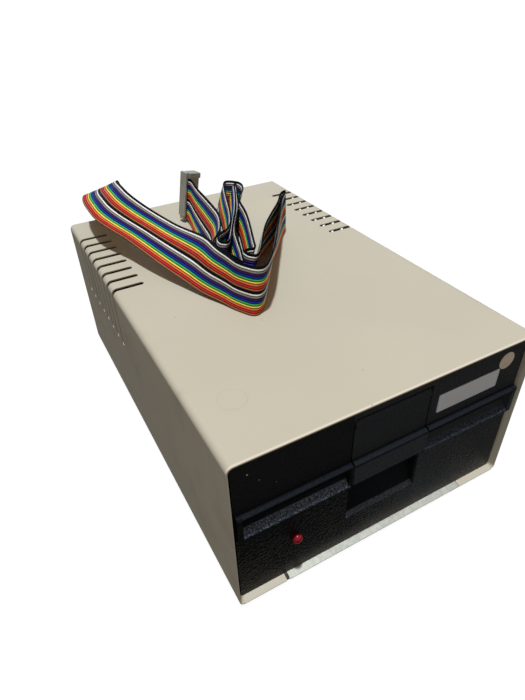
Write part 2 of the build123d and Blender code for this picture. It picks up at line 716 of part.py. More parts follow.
with BuildPart() as stepper_motor:
    with BuildSketch(xy(12.0)):
        with Locations((STEP_X, STEP_Y)):
            Circle(20.0)
    extrude(amount=22.4)
    fillet(stepper_motor.edges().filter_by(GeomType.CIRCLE).group_by(Axis.Z)[0], 1.5)
    with BuildSketch(xy(34.4)):
        with Locations((STEP_X, STEP_Y)):
            Rectangle(54.0, 16.0)
            Circle(20.0)
    extrude(amount=1.6)
    with BuildSketch(xy(36.0)):
        with Locations((STEP_X, STEP_Y)):
            Circle(6.3)
    extrude(amount=3.5)
    with BuildSketch(xy(20.0)):
        with Locations((STEP_X, STEP_Y)):
            Circle(2.55)
    extrude(amount=30.0, mode=Mode.SUBTRACT)
    with BuildSketch(xy(30.0)):
        with Locations((STEP_X - 23.2, STEP_Y), (STEP_X + 23.2, STEP_Y)):
            Circle(1.6)
    extrude(amount=8.0, mode=Mode.SUBTRACT)
stepper_motor.part.label = "stepper_motor"
export_step(stepper_motor.part, "parts/stepper_motor.step")

with BuildPart() as motor_screws:
    with BuildSketch(xy(32.6)):
        with Locations((STEP_X - 23.2, STEP_Y), (STEP_X + 23.2, STEP_Y)):
            Circle(2.8)
    extrude(amount=1.8)
    with BuildSketch(xy(34.4)):
        with Locations((STEP_X - 23.2, STEP_Y), (STEP_X + 23.2, STEP_Y)):
            Circle(1.5)
    extrude(amount=1.6)
    with BuildSketch(xy(33.0)):
        with Locations((MOTOR_X - 12.0, MOTOR_Y), (MOTOR_X + 12.0, MOTOR_Y)):
            Circle(2.8)
    extrude(amount=3.0)
motor_screws.part.label = "motor_screws"
export_step(motor_screws.part, "parts/motor_screws.step")

with BuildPart() as capstan:
    with BuildSketch(xy(24.0)):
        with Locations((STEP_X, STEP_Y)):
            Circle(2.5)
    extrude(amount=17.0)
    with BuildSketch(xy(41.0)):
        with Locations((STEP_X, STEP_Y)):
            Circle(CAPSTAN_R)
    extrude(amount=9.0)
    with BuildSketch(xy(49.0)):
        with Locations((STEP_X, STEP_Y)):
            Circle(4.0)
    extrude(amount=2.0, mode=Mode.SUBTRACT)
    with BuildSketch(yz(STEP_X)):
        with Locations((STEP_Y, 45.5)):
            Circle(1.0)
    extrude(amount=12.0, mode=Mode.SUBTRACT)
capstan.part.label = "capstan"
export_step(capstan.part, "parts/capstan.step")

with BuildPart() as band_wrap:
    with BuildSketch(xy(44.0)):
        with Locations((STEP_X, STEP_Y)):
            Circle(CAPSTAN_R + BAND_T)
            Circle(CAPSTAN_R, mode=Mode.SUBTRACT)
    extrude(amount=4.0)
band_wrap.part.label = "band_wrap"
export_step(band_wrap.part, "parts/band_wrap.step")

with BuildPart() as steel_band:
    with BuildSketch(xy(44.0)):
        with Locations((24.0 + BAND_T / 2, 157.5)):
            Rectangle(BAND_T, 55.0)
    extrude(amount=4.0)
steel_band.part.label = "steel_band"
export_step(steel_band.part, "parts/steel_band.step")

with BuildPart() as pad_arm:
    with BuildSketch(xy(57.6)):
        with Locations((0, 148.0)):
            Rectangle(6.4, 48.0)
        with Locations((0, HEAD_Y)):
            Circle(5.5)
    extrude(amount=2.0)
    with BuildSketch(yz(-3.2)):
        with Locations((PAD_Y, PAD_Z)):
            Circle(2.4)
    extrude(amount=6.4)
    with BuildSketch(xy(54.6)):
        with Locations((0, HEAD_Y)):
            Circle(4.0)
    extrude(amount=3.2)
    with BuildSketch(yz(-7)):
        with Locations((PAD_Y, PAD_Z)):
            Circle(1.05)
    extrude(amount=14.0, mode=Mode.SUBTRACT)
pad_arm.part.label = "pad_arm"
export_step(pad_arm.part, "parts/pad_arm.step")

with BuildPart() as pressure_pad:
    with BuildSketch(xy(52.9)):
        with Locations((0, HEAD_Y)):
            Circle(3.2)
    extrude(amount=1.7)
pressure_pad.part.label = "pressure_pad"
export_step(pressure_pad.part, "parts/pressure_pad.step")

with BuildPart() as pad_arm_pin:
    with BuildSketch(yz(-7.4)):
        with Locations((PAD_Y, PAD_Z)):
            Circle(1.0)
    extrude(amount=14.8)
pad_arm_pin.part.label = "pad_arm_pin"
export_step(pad_arm_pin.part, "parts/pad_arm_pin.step")

# ---------------------------------------------------------------- hub clamp
with BuildPart() as clamp_arm:
    with BuildSketch(xy(58.5)):
        with Locations((0, SPINDLE_Y)):
            Rectangle(70.0, 34.0)
        with Locations((-32.5, 122.0), (32.5, 122.0)):
            Rectangle(5.0, 64.0)
    extrude(amount=3.0)
    with BuildSketch(xy(56.0)):
        with Locations((0, 35.8)):
            Rectangle(16.0, 54.6)
    extrude(amount=2.5)
    with BuildSketch(xy(58.5)):
        with Locations((-7.0, 50.0), (7.0, 50.0)):
            Rectangle(2.0, 26.0)
    extrude(amount=3.0)
    with BuildSketch(xy(61.5)):
        with Locations((0, SPINDLE_Y)):
            Circle(9.0)
    extrude(amount=4.0)
    for x0 in (-35.5, 30.5):
        with BuildSketch(yz(x0)):
            with Locations((CLAMP_Y, CLAMP_Z)):
                Circle(4.5)
        extrude(amount=5.0)
    with BuildSketch(yz(-80)):
        with Locations((CLAMP_Y, CLAMP_Z)):
            Circle(2.05)
    extrude(amount=160.0, mode=Mode.SUBTRACT)
    with BuildSketch(xy(50)):
        with Locations((0, SPINDLE_Y)):
            Circle(3.05)
    extrude(amount=20.0, mode=Mode.SUBTRACT)
    with BuildSketch(xy(50)):
        with Locations((-22, SPINDLE_Y), (22, SPINDLE_Y)):
            RectangleRounded(12.0, 20.0, 3.0, mode=Mode.ADD)
    extrude(amount=20.0, mode=Mode.SUBTRACT)
clamp_arm.part.label = "clamp_arm"
export_step(clamp_arm.part, "parts/clamp_arm.step")

with BuildPart() as clamp_pivot_pins:
    for x0 in (-50.2, 29.8):
        with BuildSketch(yz(x0)):
            with Locations((CLAMP_Y, CLAMP_Z)):
                Circle(2.0)
        extrude(amount=20.4)
clamp_pivot_pins.part.label = "clamp_pivot_pins"
export_step(clamp_pivot_pins.part, "parts/clamp_pivot_pins.step")

with BuildPart() as clamp_cone:
    with BuildSketch(Plane(origin=at(0, SPINDLE_Y, 0), x_dir=(1, 0, 0), z_dir=(0, -1, 0))):
        with BuildLine():
            Polyline((0, 47.0), (10.6, 47.0), (13.0, 51.6), (14.6, 52.0), (14.6, 54.4), (13.4, 56.2), (5.0, 57.4),
                     (5.0, 58.2), (3.0, 58.2), (3.0, 67.5), (0, 67.5), close=True)
        make_face()
    revolve(axis=Axis(at(0, SPINDLE_Y, 0), (0, 0, 1)))
    # slits that let the cone spring
    with BuildSketch(xy(50.2)):
        with Locations((0, SPINDLE_Y)):
            with PolarLocations(12.0, 6):
                Rectangle(7.0, 0.9)
    extrude(amount=-4.0, mode=Mode.SUBTRACT)
clamp_cone.part.label = "clamp_cone"
export_step(clamp_cone.part, "parts/clamp_cone.step")

with BuildPart() as clamp_clip:
    with BuildSketch(xy(65.9)):
        with Locations((0, SPINDLE_Y)):
            Circle(5.5)
            Circle(3.0, mode=Mode.SUBTRACT)
    extrude(amount=0.9)
clamp_clip.part.label = "clamp_clip"
export_step(clamp_clip.part, "parts/clamp_clip.step")

# ---------------------------------------------------------------- electronics
with BuildPart() as logic_board:
    with BuildSketch(xy(BOARD_Z)):
        with Locations((0, 192.0)):
            Rectangle(138.0, 68.0)
        with Locations((-64, 163), (64, 163), (-64, 208), (64, 208)):
            Circle(1.7, mode=Mode.SUBTRACT)
    extrude(amount=SHEET)
logic_board.part.label = "logic_board"
export_step(logic_board.part, "parts/logic_board.step")

with BuildPart() as board_standoffs:
    with BuildSketch(xy(DECK_Z + DECK_T)):
        with Locations((-64, 163), (64, 163), (-64, 208), (64, 208)):
            RegularPolygon(3.2, 6)
            Circle(1.25, mode=Mode.SUBTRACT)
    extrude(amount=BOARD_Z - DECK_Z - DECK_T)
board_standoffs.part.label = "board_standoffs"
export_step(board_standoffs.part, "parts/board_standoffs.step")

with BuildPart() as board_screws:
    with BuildSketch(xy(BOARD_Z + SHEET)):
        with Locations((-64, 163), (64, 163), (-64, 208), (64, 208)):
            Circle(2.8)
    extrude(amount=1.8)
    with BuildSketch(xy(BOARD_Z + SHEET)):
        with Locations((-64, 163), (64, 163), (-64, 208), (64, 208)):
            Circle(1.25)
    extrude(amount=-7.0)
board_screws.part.label = "board_screws"
export_step(board_screws.part, "parts/board_screws.step")

with BuildPart() as logic_chips:
    with BuildSketch(xy(BOARD_Z + SHEET + 0.5)):
        for x, y, n in ((-8, 170, 20), (22, 170, 20), (50, 170, 18), (-8, 186, 20), (22, 186, 20), (50, 186, 18),
                        (8, 202, 20), (36, 202, 20)):
            with Locations((x, y)):
                Rectangle(n, 6.4)
    extrude(amount=3.3)
    with BuildSketch(xy(BOARD_Z + SHEET)):
        for x, y, n in ((-8, 170, 20), (22, 170, 20), (50, 170, 18), (-8, 186, 20), (22, 186, 20), (50, 186, 18),
                        (8, 202, 20), (36, 202, 20)):
            for i in range(7):
                for s in (-1, 1):
                    with Locations((x + (i - 3) * 2.54, y + s * 3.5)):
                        Rectangle(0.9, 0.6)
    extrude(amount=2.0)
logic_chips.part.label = "logic_chips"
export_step(logic_chips.part, "parts/logic_chips.step")

with BuildPart() as capacitors:
    with BuildSketch(xy(BOARD_Z + SHEET)):
        with Locations((-52, 172), (-38, 172)):
            Circle(5.0)
        with Locations((-52, 188), (-40, 188), (-30, 176)):
            Circle(3.2)
    extrude(amount=12.0)
    fillet(capacitors.edges().filter_by(GeomType.CIRCLE).group_by(Axis.Z)[-1], 0.6)
capacitors.part.label = "capacitors"
export_step(capacitors.part, "parts/capacitors.step")

with BuildPart() as resistors:
    for x, y in ((-24, 160), (-12, 160), (0, 160), (12, 160), (24, 160), (36, 160), (52, 214), (52, 209.5), (38, 214),
                 (38, 209.5)):
        with BuildSketch(yz(x - 3.2)):
            with Locations((y, BOARD_Z + SHEET + 1.3)):
                Circle(1.15)
        extrude(amount=6.4)
        with BuildSketch(yz(x - 4.8)):
            with Locations((y, BOARD_Z + SHEET + 1.3)):
                Circle(0.35)
        extrude(amount=9.6)
        with BuildSketch(xy(BOARD_Z + SHEET)):
            with Locations((x - 4.5, y), (x + 4.5, y)):
                Rectangle(0.6, 0.6)
        extrude(amount=1.3)
resistors.part.label = "resistors"
export_step(resistors.part, "parts/resistors.step")

# the header is as long as its twenty contacts
with BuildPart() as board_header:
    with BuildSketch(xy(BOARD_Z + SHEET)):
        with Locations((RIBBON_X, 217.0)):
            Rectangle(33.0, 9.0)
            Rectangle(30.8, 6.8, mode=Mode.SUBTRACT)
    extrude(amount=8.0)
    with BuildSketch(xy(BOARD_Z + SHEET)):
        with Locations((RIBBON_X, 217.0)):
            Rectangle(33.0, 9.0)
    extrude(amount=1.5)
board_header.part.label = "board_header"
export_step(board_header.part, "parts/board_header.step")

with BuildPart() as board_plug:
    with BuildSketch(xy(BOARD_Z + SHEET + 1.6)):
        with Locations((RIBBON_X, 217.0)):
            Rectangle(30.4, 6.2)
    extrude(amount=10.35)
    with BuildSketch(xy(80.45)):
        with Locations((RIBBON_X, 217.0)):
            Rectangle(30.4, 6.2)
    extrude(amount=2.8)
    # ears that join the cover to the body beyond the ribbon's edges
    with BuildSketch(xy(79.5)):
        with Locations((RIBBON_X - 14.5, 217.0), (RIBBON_X + 14.5, 217.0)):
            Rectangle(1.4, 6.2)
    extrude(amount=1.0)
board_plug.part.label = "board_plug"
export_step(board_plug.part, "parts/board_plug.step")

with BuildPart() as track_zero_switch:
    with BuildSketch(xy(DECK_Z + DECK_T)):
        with Locations((36.0, 181.0)):
            Rectangle(6.4, 20.0)
    extrude(amount=10.0)
    with BuildSketch(xy(DECK_Z + DECK_T + 5.0)):
        with BuildLine():
            Polyline((33.2, 189.4), (27.2, 176.0), (27.5, 175.8), (33.2, 187.6), close=True)
        make_face()
    extrude(amount=3.0)
track_zero_switch.part.label = "track_zero_switch"
export_step(track_zero_switch.part, "parts/track_zero_switch.step")

with BuildPart() as write_protect_switch:
    with BuildSketch(xy(58.0)):
        with Locations((-66.0, 50.0)):
            Rectangle(6.4, 20.0)
    extrude(amount=10.0)
    with BuildSketch(xy(59.0)):
        with BuildLine():
            Polyline((-63.4, 57.0), (-59.5, 45.0), (-59.2, 45.2), (-62.6, 57.6), (-63.4, 58.2), close=True)
        make_face()
    extrude(amount=3.0)
write_protect_switch.part.label = "write_protect_switch"
export_step(write_protect_switch.part, "parts/write_protect_switch.step")

with BuildPart() as index_sensor:
    with BuildSketch(xy(DECK_Z + DECK_T)):
        with Locations((-24.6, 87.0)):
            RectangleRounded(6.0, 8.0, 1.0)
    extrude(amount=9.6)
    with BuildSketch(xy(DECK_Z + DECK_T + 9.6)):
        with Locations((-24.6, 87.0)):
            Circle(1.5)
    extrude(amount=0.8)
index_sensor.part.label = "index_sensor"
export_step(index_sensor.part, "parts/index_sensor.step")

# ---------------------------------------------------------------- ribbon cable
with BuildPart() as cable_clamp:
    with BuildSketch(xy(RIBBON_EXIT_Z - 3.4)):
        with Locations((RIBBON_X, 229.6)):
            Rectangle(37.0, 7.2)
        with Locations((RIBBON_X - 16.0, 229.6), (RIBBON_X + 16.0, 229.6)):
            Circle(1.6, mode=Mode.SUBTRACT)
    extrude(amount=3.4 - RIBBON_T / 2)
    with BuildSketch(xy(RIBBON_EXIT_Z + RIBBON_T / 2)):
        with Locations((RIBBON_X, 229.6)):
            Rectangle(37.0, 7.2)
        with Locations((RIBBON_X - 16.0, 229.6), (RIBBON_X + 16.0, 229.6)):
            Circle(1.6, mode=Mode.SUBTRACT)
    extrude(amount=3.0)
    with BuildSketch(xz(233.2)):
        with Locations((RIBBON_X, 73.0)):
            Rectangle(37.0, 7.4)
    extrude(amount=1.2)
cable_clamp.part.label = "cable_clamp"
export_step(cable_clamp.part, "parts/cable_clamp.step")

with BuildPart() as cable_clamp_screws:
    with BuildSketch(xy(RIBBON_EXIT_Z + RIBBON_T / 2 + 3.0)):
        with Locations((RIBBON_X - 16.0, 229.6), (RIBBON_X + 16.0, 229.6)):
            Circle(2.6)
    extrude(amount=1.6)
    with BuildSketch(xy(RIBBON_EXIT_Z - 3.4)):
        with Locations((RIBBON_X - 16.0, 229.6), (RIBBON_X + 16.0, 229.6)):
            Circle(1.6)
    extrude(amount=3.4 + RIBBON_T / 2 + 3.0)
cable_clamp_screws.part.label = "cable_clamp_screws"
export_step(cable_clamp_screws.part, "parts/cable_clamp_screws.step")

# inside: from the plug on the board, flat and straight out through the clamp and the slot
with BuildPart() as ribbon_inside:
    with BuildSketch(xy(RIBBON_EXIT_Z - RIBBON_T / 2)):
        with Locations((RIBBON_X, (213.9 + 234.9) / 2)):
            Rectangle(RIBBON_W, 234.9 - 213.9)
    extrude(amount=RIBBON_T)
ribbon_inside.part.label = "ribbon_inside"
export_step(ribbon_inside.part, "parts/ribbon_inside.step")

# outside, part 1: out of the slot and up behind the back edge of the case
RISE_Z = 98.0
with BuildPart() as ribbon_rise:
    with BuildSketch(yz(RIBBON_X - RIBBON_W / 2)):
        with BuildLine() as rise_path:
            FilletPolyline((234.9, RIBBON_EXIT_Z), (256.0, RIBBON_EXIT_Z), (256.0, RISE_Z), radius=13.9)
        trace(rise_path.line, RIBBON_T)
    extrude(amount=RIBBON_W)
ribbon_rise.part.label = "ribbon_rise"
export_step(ribbon_rise.part, "parts/ribbon_rise.step")

# outside, part 2: over the back edge, forward above the case, and the quarter twist that stands it on its edge
EDGE_Z = CASE_H + 0.3 + RIBBON_W / 2
# middle of the ribbon, how far its width is rolled up from level, how steeply it climbs
twist_stations = (
    (RIBBON_X, 256.0, RISE_Z, 0.0, 90.0),
    (-45.0, 253.6, 104.2, 2.0, 50.0),
    (-48.4, 247.0, 107.6, 8.0, 15.0),
    (-52.7, 236.9, 109.3, 15.0, 0.0),
    (-55.6, 223.2, 110.9, 21.0, 0.0),
    (-56.6, 209.0, 112.0, 25.0, 0.0),
    (-55.6, 195.2, 111.2, 24.0, 0.0),
    (-51.7, 182.0, 108.6, 19.0, 0.0),
    (-46.4, 167.7, 106.4, 17.0, 0.0),
    (-42.2, 152.0, 105.0, 22.0, 0.0),
    (-38.6, 136.5, 104.2, 42.0, 0.0),
    (-36.4, 122.0, 103.4, 72.0, 0.0),
)
G_END = (-34.5, 112.0)
with BuildPart() as ribbon_twist:
    for tx, ty, tz, roll, climb in twist_stations:
        r, c = math.radians(roll), math.radians(climb)
        with BuildSketch(Plane(origin=at(tx, ty, tz), x_dir=(math.cos(r), 0, math.sin(r)),
                               z_dir=(0, -math.cos(c), math.sin(c)))):
            Rectangle(RIBBON_W, RIBBON_T)
    with BuildSketch(Plane(origin=at(G_END[0], G_END[1], EDGE_Z), x_dir=(0, 0, 1), z_dir=(4.4, -16.5, 0))):
        Rectangle(RIBBON_W, RIBBON_T)
    loft(ruled=True)
ribbon_twist.part.label = "ribbon_twist"
export_step(ribbon_twist.part, "parts/ribbon_twist.step")

# the connector leans on its side: its own axes, measured from the middle of the ribbon where it enters the front face
PLUG = (-6.8, 199.9, 103.8)
PLUG_YAW, PLUG_LEAN = math.radians(11.7), math.radians(11.3)
PLUG_U = (math.cos(PLUG_LEAN) * math.cos(PLUG_YAW), math.cos(PLUG_LEAN) * math.sin(PLUG_YAW), -math.sin(PLUG_LEAN))
PLUG_V = (-math.sin(PLUG_YAW), math.cos(PLUG_YAW), 0.0)
PLUG_N = (math.sin(PLUG_LEAN) * math.cos(PLUG_YAW), math.sin(PLUG_LEAN) * math.sin(PLUG_YAW), math.cos(PLUG_LEAN))


def plug_at(u, v, n):
    # u across the ribbon's faces to the right, v into the connector, n up along the ribbon's width
    return at(*(PLUG[i] + u * PLUG_U[i] + v * PLUG_V[i] + n * PLUG_N[i] for i in range(3)))


def plug_level(n):
    # sketch x is u, sketch y is v; a positive extrude goes up
    return Plane(origin=plug_at(0, 0, n), x_dir=PLUG_U, z_dir=PLUG_N)


# outside, part 3: standing on its edge on the case, forward, round the front corner and back and forth in folds
RUN = [
    (G_END[0], G_END[1], 0),
    (-30.1, 95.5, 60), (-28.5, 87.5, 22.9), (-21.6, 75.1, 4.3), (-10.9, 87.5, 60), (-3.3, 98.9, 60),
    (7.2, 114.7, 60), (17.1, 127.6, 60), (30.7, 146.5, 60), (38.3, 154.6, 0.73), (32.8, 153.2, 7.3),
    (25.0, 143.3, 60), (13.3, 132.7, 60), (3.1, 122.3, 60), (-3.5, 113.4, 60), (-13.6, 97.8, 60),
    (-18.5, 91.0, 1.45), (-21.3, 94.2, 4.9), (-21.3, 98.6, 1.8), (-19.1, 99.8, 2.3), (-15.7, 98.4, 1.5),
    (-12.9, 106.8, 60), (-8.0, 119.1, 60), (-3.1, 131.5, 60), (1.4, 143.7, 60), (4.9, 157.3, 48),
    (8.9, 166.1, 26), (16.2, 174.0, 21), (19.6, 184.6, 7.5), (15.7, 191.2, 6.4), (11.3, 193.1, 2.1),
    (7.3, 183.9, 60), (1.0, 168.3, 60), (-5.6, 150.2, 60), (-13.0, 135.0, 50), (-17.9, 127.8, 16),
    (-24.9, 122.9, 9.0), (-27.6, 115.0, 2.9), (-24.7, 112.2, 1.6), (-21.5, 116.0, 20), (-13.7, 130.5, 60),
    (-1.1, 152.2, 60), (6.9, 168.6, 60), (12.9, 181.4, 60), (14.2, 184.6, 1.8), (16.2, 185.2, 0.6),
    (15.6, 181.9, 7.0), (9.7, 170.8, 60), (1.9, 154.2, 60), (-6.8, 139.2, 60), (-14.6, 125.7, 60),
    (-19.4, 111.9, 60), (-23.0, 99.1, 60), (-24.4, 94.6, 22), (-25.3, 87.2, 0.76), (-27.0, 87.4, 0.88),
    (-27.3, 92.5, 30), (-31.3, 112.4, 12), (-29.8, 119.6, 15), (-24.2, 128.0, 50), (-18.0, 137.5, 40),
    (-13.3, 149.4, 45), (-11.5, 162.2, 60),
    (-9.5, 175.6, 0),
]
with BuildPart() as ribbon_run:
    with BuildSketch(xy(EDGE_Z - RIBBON_W / 2)):
        with BuildLine() as run_path:
            FilletPolyline(*[(x, y) for x, y, r in RUN], radius=[max(r, 0.001) for x, y, r in RUN[1:-1]])
        trace(run_path.line, RIBBON_T)
    extrude(amount=RIBBON_W)
    # the last stretch leans over with the connector and bends into it
    with BuildSketch(Plane(origin=at(RUN[-1][0], RUN[-1][1], EDGE_Z), x_dir=(0, 0, 1),
                           z_dir=(RUN[-1][0] - RUN[-2][0], RUN[-1][1] - RUN[-2][1], 0))):
        Rectangle(RIBBON_W, RIBBON_T)
    with BuildSketch(Plane(origin=plug_at(0, -1.95, 0), x_dir=PLUG_N, z_dir=PLUG_V)):
        Rectangle(RIBBON_W, RIBBON_T)
    loft(ruled=True)
    with BuildSketch(Plane(origin=plug_at(0, -1.95, 0), x_dir=PLUG_N, z_dir=PLUG_V)):
        Rectangle(RIBBON_W, RIBBON_T)
    extrude(amount=8.0)
ribbon_run.part.label = "ribbon_run"
export_step(ribbon_run.part, "parts/ribbon_run.step")

# connector: a socket body on the right of the ribbon and its cover on the left
with BuildPart() as connector_body:
    with BuildSketch(plug_level(-13.2)):
        with Locations(((RIBBON_T / 2 + 7.3) / 2, 3.15)):
            Rectangle(7.3 - RIBBON_T / 2, 6.3)
    extrude(amount=26.2)
    # the raised head of the body
    with BuildSketch(plug_level(13.0)):
        with Locations(((RIBBON_T / 2 + 8.15) / 2, 3.0)):
            Rectangle(8.15 - RIBBON_T / 2, 6.6)
    extrude(amount=3.3)
    chamfer(connector_body.faces().sort_by(Axis(plug_at(0, 0, 0), PLUG_N))[-1].edges(), 0.5)
    # latch that comes round under the ribbon and holds the cover's lower end
    with BuildSketch(plug_level(-13.2)):
        with Locations((-0.8, 3.15)):
            Rectangle(2.8, 3.9)
    extrude(amount=0.35)
    with BuildSketch(plug_level(-13.2)):
        with Locations((-1.4, 3.15)):
            Rectangle(1.6, 3.9)
    extrude(amount=2.1)
    # two rows of contact holes in the mating face
    with BuildSketch(Plane(origin=plug_at(7.3, 3.15, 0), x_dir=PLUG_V, z_dir=PLUG_U)):
        with GridLocations(2.54, 2.54, 2, 10):
            Rectangle(1.1, 1.1)
    extrude(amount=-3.0, mode=Mode.SUBTRACT)
    # polarising key on the far side
    with BuildSketch(plug_level(-2.0)):
        with Locations((4.4, 6.5)):
            Rectangle(5.0, 0.6)
    extrude(amount=4.0)
connector_body.part.label = "connector_body"
export_step(connector_body.part, "parts/connector_body.step")

with BuildPart() as connector_cover:
    with BuildSketch(plug_level(-11.0)):
        with BuildLine():
            Polyline((-2.45, 0.3), (-2.15, 0), (-1.25, 0), (-RIBBON_T / 2, 0.9), (-RIBBON_T / 2, 6.3), (-2.45, 6.3), close=True)
        make_face()
    extrude(amount=27.3)
    chamfer(connector_cover.faces().sort_by(Axis(plug_at(0, 0, 0), PLUG_N))[-1].edges(), 0.3)
    # the bridge above the ribbon's edge, open towards the front
    with BuildSketch(plug_level(12.9)):
        with Locations((0, 3.9)):
            Rectangle(RIBBON_T, 4.8)
    extrude(amount=2.8)
connector_cover.part.label = "connector_cover"
export_step(connector_cover.part, "parts/connector_cover.step")

ribbon_length = (ribbon_rise.part.volume + ribbon_twist.part.volume + ribbon_run.part.volume) / (RIBBON_W * RIBBON_T)
print("ribbon outside, mm:", round(ribbon_length, 1))
print("ribbon corner radii, mm:", [r for x, y, r in RUN[1:-1]])
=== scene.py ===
import math

import bpy
from mathutils import Matrix, Vector


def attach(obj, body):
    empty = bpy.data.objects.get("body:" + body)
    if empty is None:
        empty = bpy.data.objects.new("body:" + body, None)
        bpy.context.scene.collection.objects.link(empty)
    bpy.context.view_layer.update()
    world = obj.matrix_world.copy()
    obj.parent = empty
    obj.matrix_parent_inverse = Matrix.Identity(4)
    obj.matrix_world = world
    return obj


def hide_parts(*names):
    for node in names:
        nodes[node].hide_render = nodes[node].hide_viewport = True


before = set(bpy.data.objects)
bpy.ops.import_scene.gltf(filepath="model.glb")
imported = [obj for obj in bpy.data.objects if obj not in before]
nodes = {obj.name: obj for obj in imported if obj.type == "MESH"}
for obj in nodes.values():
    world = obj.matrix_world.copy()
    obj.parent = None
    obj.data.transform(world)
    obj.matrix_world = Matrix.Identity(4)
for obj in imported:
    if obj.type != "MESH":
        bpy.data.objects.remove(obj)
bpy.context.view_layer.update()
scene = bpy.context.scene

DEPTH = 0.2365        # case, front to back
FOOT = 0.0025
TOP = 0.0891 + FOOT   # top of the case above the floor


def pt(x, y, z):
    """A point in millimetres from the case's front edge and bottom, in the row frame in metres."""
    return Vector((x / 1000, y / 1000 - DEPTH / 2, z / 1000 + FOOT))


# ---------------------------------------------------------------- camera

cam_data = bpy.data.cameras.new("camera")
cam = bpy.data.objects.new("camera", cam_data)
scene.collection.objects.link(cam)
turn = Matrix((
    (0.87648621, 0.30944762, -0.36880088),
    (-0.48049696, 0.51469895, -0.71007581),
    (-0.02990984, 0.79957936, 0.59981518),
))
cam.matrix_world = Matrix.Translation((-0.118671, -0.228427, 0.229292)) @ turn.to_4x4()
cam_data.sensor_width = 36
cam_data.sensor_fit = "AUTO"
cam_data.lens = 27.109
cam_data.clip_start = 0.005
cam_data.clip_end = 60
scene.camera = cam

# ---------------------------------------------------------------- ribbon cable

PITCH = 1.27          # conductor spacing, mm
WAYS = 20
RIDGE = 0.46          # half thickness over a conductor, mm
WEB = 0.16            # half thickness of the web between two conductors, mm

# x, y, height of the middle above the case's bottom (None where the lower edge lies on the
# case), and the lean of the black edge from upright towards +X, in degrees.
H = 89.1
ROUTE = [
    (-43.0, 234.9, 80.0, 90),
    (-43.0, 256.0, 80.0, 88),
    (-47.5, 256.0, 102.0, 82),
    (-52.7, 236.9, 108.6, 75),
    (-55.6, 223.2, 110.9, 69),
    (-56.6, 209.0, 112.4, 65),
    (-56.2, 195.2, 111.4, 66),
    (-51.7, 182.0, 108.4, 71),
    (-46.0, 167.7, 105.7, 75),
    (-42.2, 152.0, 104.5, 71),
    (-38.5, 136.5, 104.0, 58),
    (-35.3, 120.9, 104.0, 39),
    (-33.7, 107.7, 103.0, 22),
    (-30.1, 95.5, 102.5, 11),
    (-28.5, 87.5, None, 6),
    (-21.6, 75.1, None, 8),
    (-10.9, 87.5, None, 11),
    (-3.3, 98.9, None, 14),
    (7.2, 114.7, None, 13),
    (17.1, 127.6, None, 8),
    (30.7, 146.5, None, 1),
    (39.3, 155.1, None, 0),
    (32.8, 153.2, None, 4),
    (25.0, 143.3, None, 10),
    (13.3, 132.7, None, 16),
    (3.1, 122.3, None, 19),
    (-3.5, 113.4, None, 20),
    (-13.6, 97.8, None, 21),
    (-18.5, 91.0, None, 20),
    (-21.8, 94.2, None, 19),
    (-22.0, 99.2, None, 19),
    (-19.1, 99.8, None, 19),
    (-15.7, 98.4, None, 19),
    (-12.9, 106.8, None, 21),
    (-8.0, 119.1, None, 22),
    (-3.1, 131.5, None, 22),
    (1.2, 143.7, None, 22),
    (4.4, 157.5, None, 22),
    (8.5, 166.1, None, 21),
    (16.2, 174.0, None, 19),
    (19.6, 184.6, None, 20),
    (15.7, 191.2, None, 20),
    (11.3, 193.1, None, 20),
    (7.3, 183.9, None, 21),
    (1.0, 168.3, None, 23),
    (-5.4, 150.0, None, 23),
    (-12.4, 134.7, None, 23),
    (-17.9, 127.1, None, 23),
    (-25.5, 123.6, None, 22),
    (-28.0, 115.0, None, 21),
    (-24.7, 112.2, None, 22),
    (-21.5, 116.0, None, 23),
    (-13.7, 130.5, None, 24),
    (-1.1, 152.2, None, 24),
    (6.9, 168.6, None, 24),
    (12.9, 181.4, None, 23),
    (14.8, 186.4, None, 22),
    (15.9, 185.1, None, 22),
    (13.9, 180.5, None, 23),
    (9.7, 171.5, None, 23),
    (1.9, 154.2, None, 24),
    (-6.8, 139.2, None, 23),
    (-14.8, 125.7, None, 23),
    (-19.1, 111.9, None, 20),
    (-22.7, 99.1, None, 16),
    (-24.2, 94.6, None, 14),
    (-25.7, 87.7, None, 10),
    (-27.0, 87.7, None, 9),
    (-27.1, 92.5, None, 9),
    (-31.7, 112.4, None, 16),
    (-29.2, 119.1, None, 21),
    (-23.1, 127.4, None, 25),
    (-18.0, 137.5, None, 27),
    (-13.3, 149.4, None, 27),
    (-11.5, 162.2, None, 26),
    (-9.5, 175.6, None, 21),
    (-7.7, 187.4, None, 14),
    (-6.6, 196.3, 103.8, 11.5),
    (-6.6, 199.3, 103.8, 11.3),
    (-7.9, 205.3, 103.8, 11.3),
]


def across(lean):
    """The direction across the ribbon, from its brown edge to its black edge."""
    a = math.radians(lean)
    return Vector((math.sin(a), 0.0, math.cos(a)))


def nurbs_points(name, coords):
    """The points that Blender draws along an open NURBS curve through these control points."""
    data = bpy.data.curves.new(name, "CURVE")
    data.dimensions = "3D"
    spline = data.splines.new("NURBS")
    spline.points.add(len(coords) - 1)
    for p, c in zip(spline.points, coords):
        p.co = (c[0], c[1], c[2], 1.0)
    spline.order_u = 3
    spline.use_endpoint_u = True
    spline.resolution_u = 12
    obj = bpy.data.objects.new(name, data)
    scene.collection.objects.link(obj)
    mesh = bpy.data.meshes.new_from_object(obj)
    out = [v.co.copy() for v in mesh.vertices]
    bpy.data.objects.remove(obj)
    bpy.data.meshes.remove(mesh)
    bpy.data.curves.remove(data)
    return out


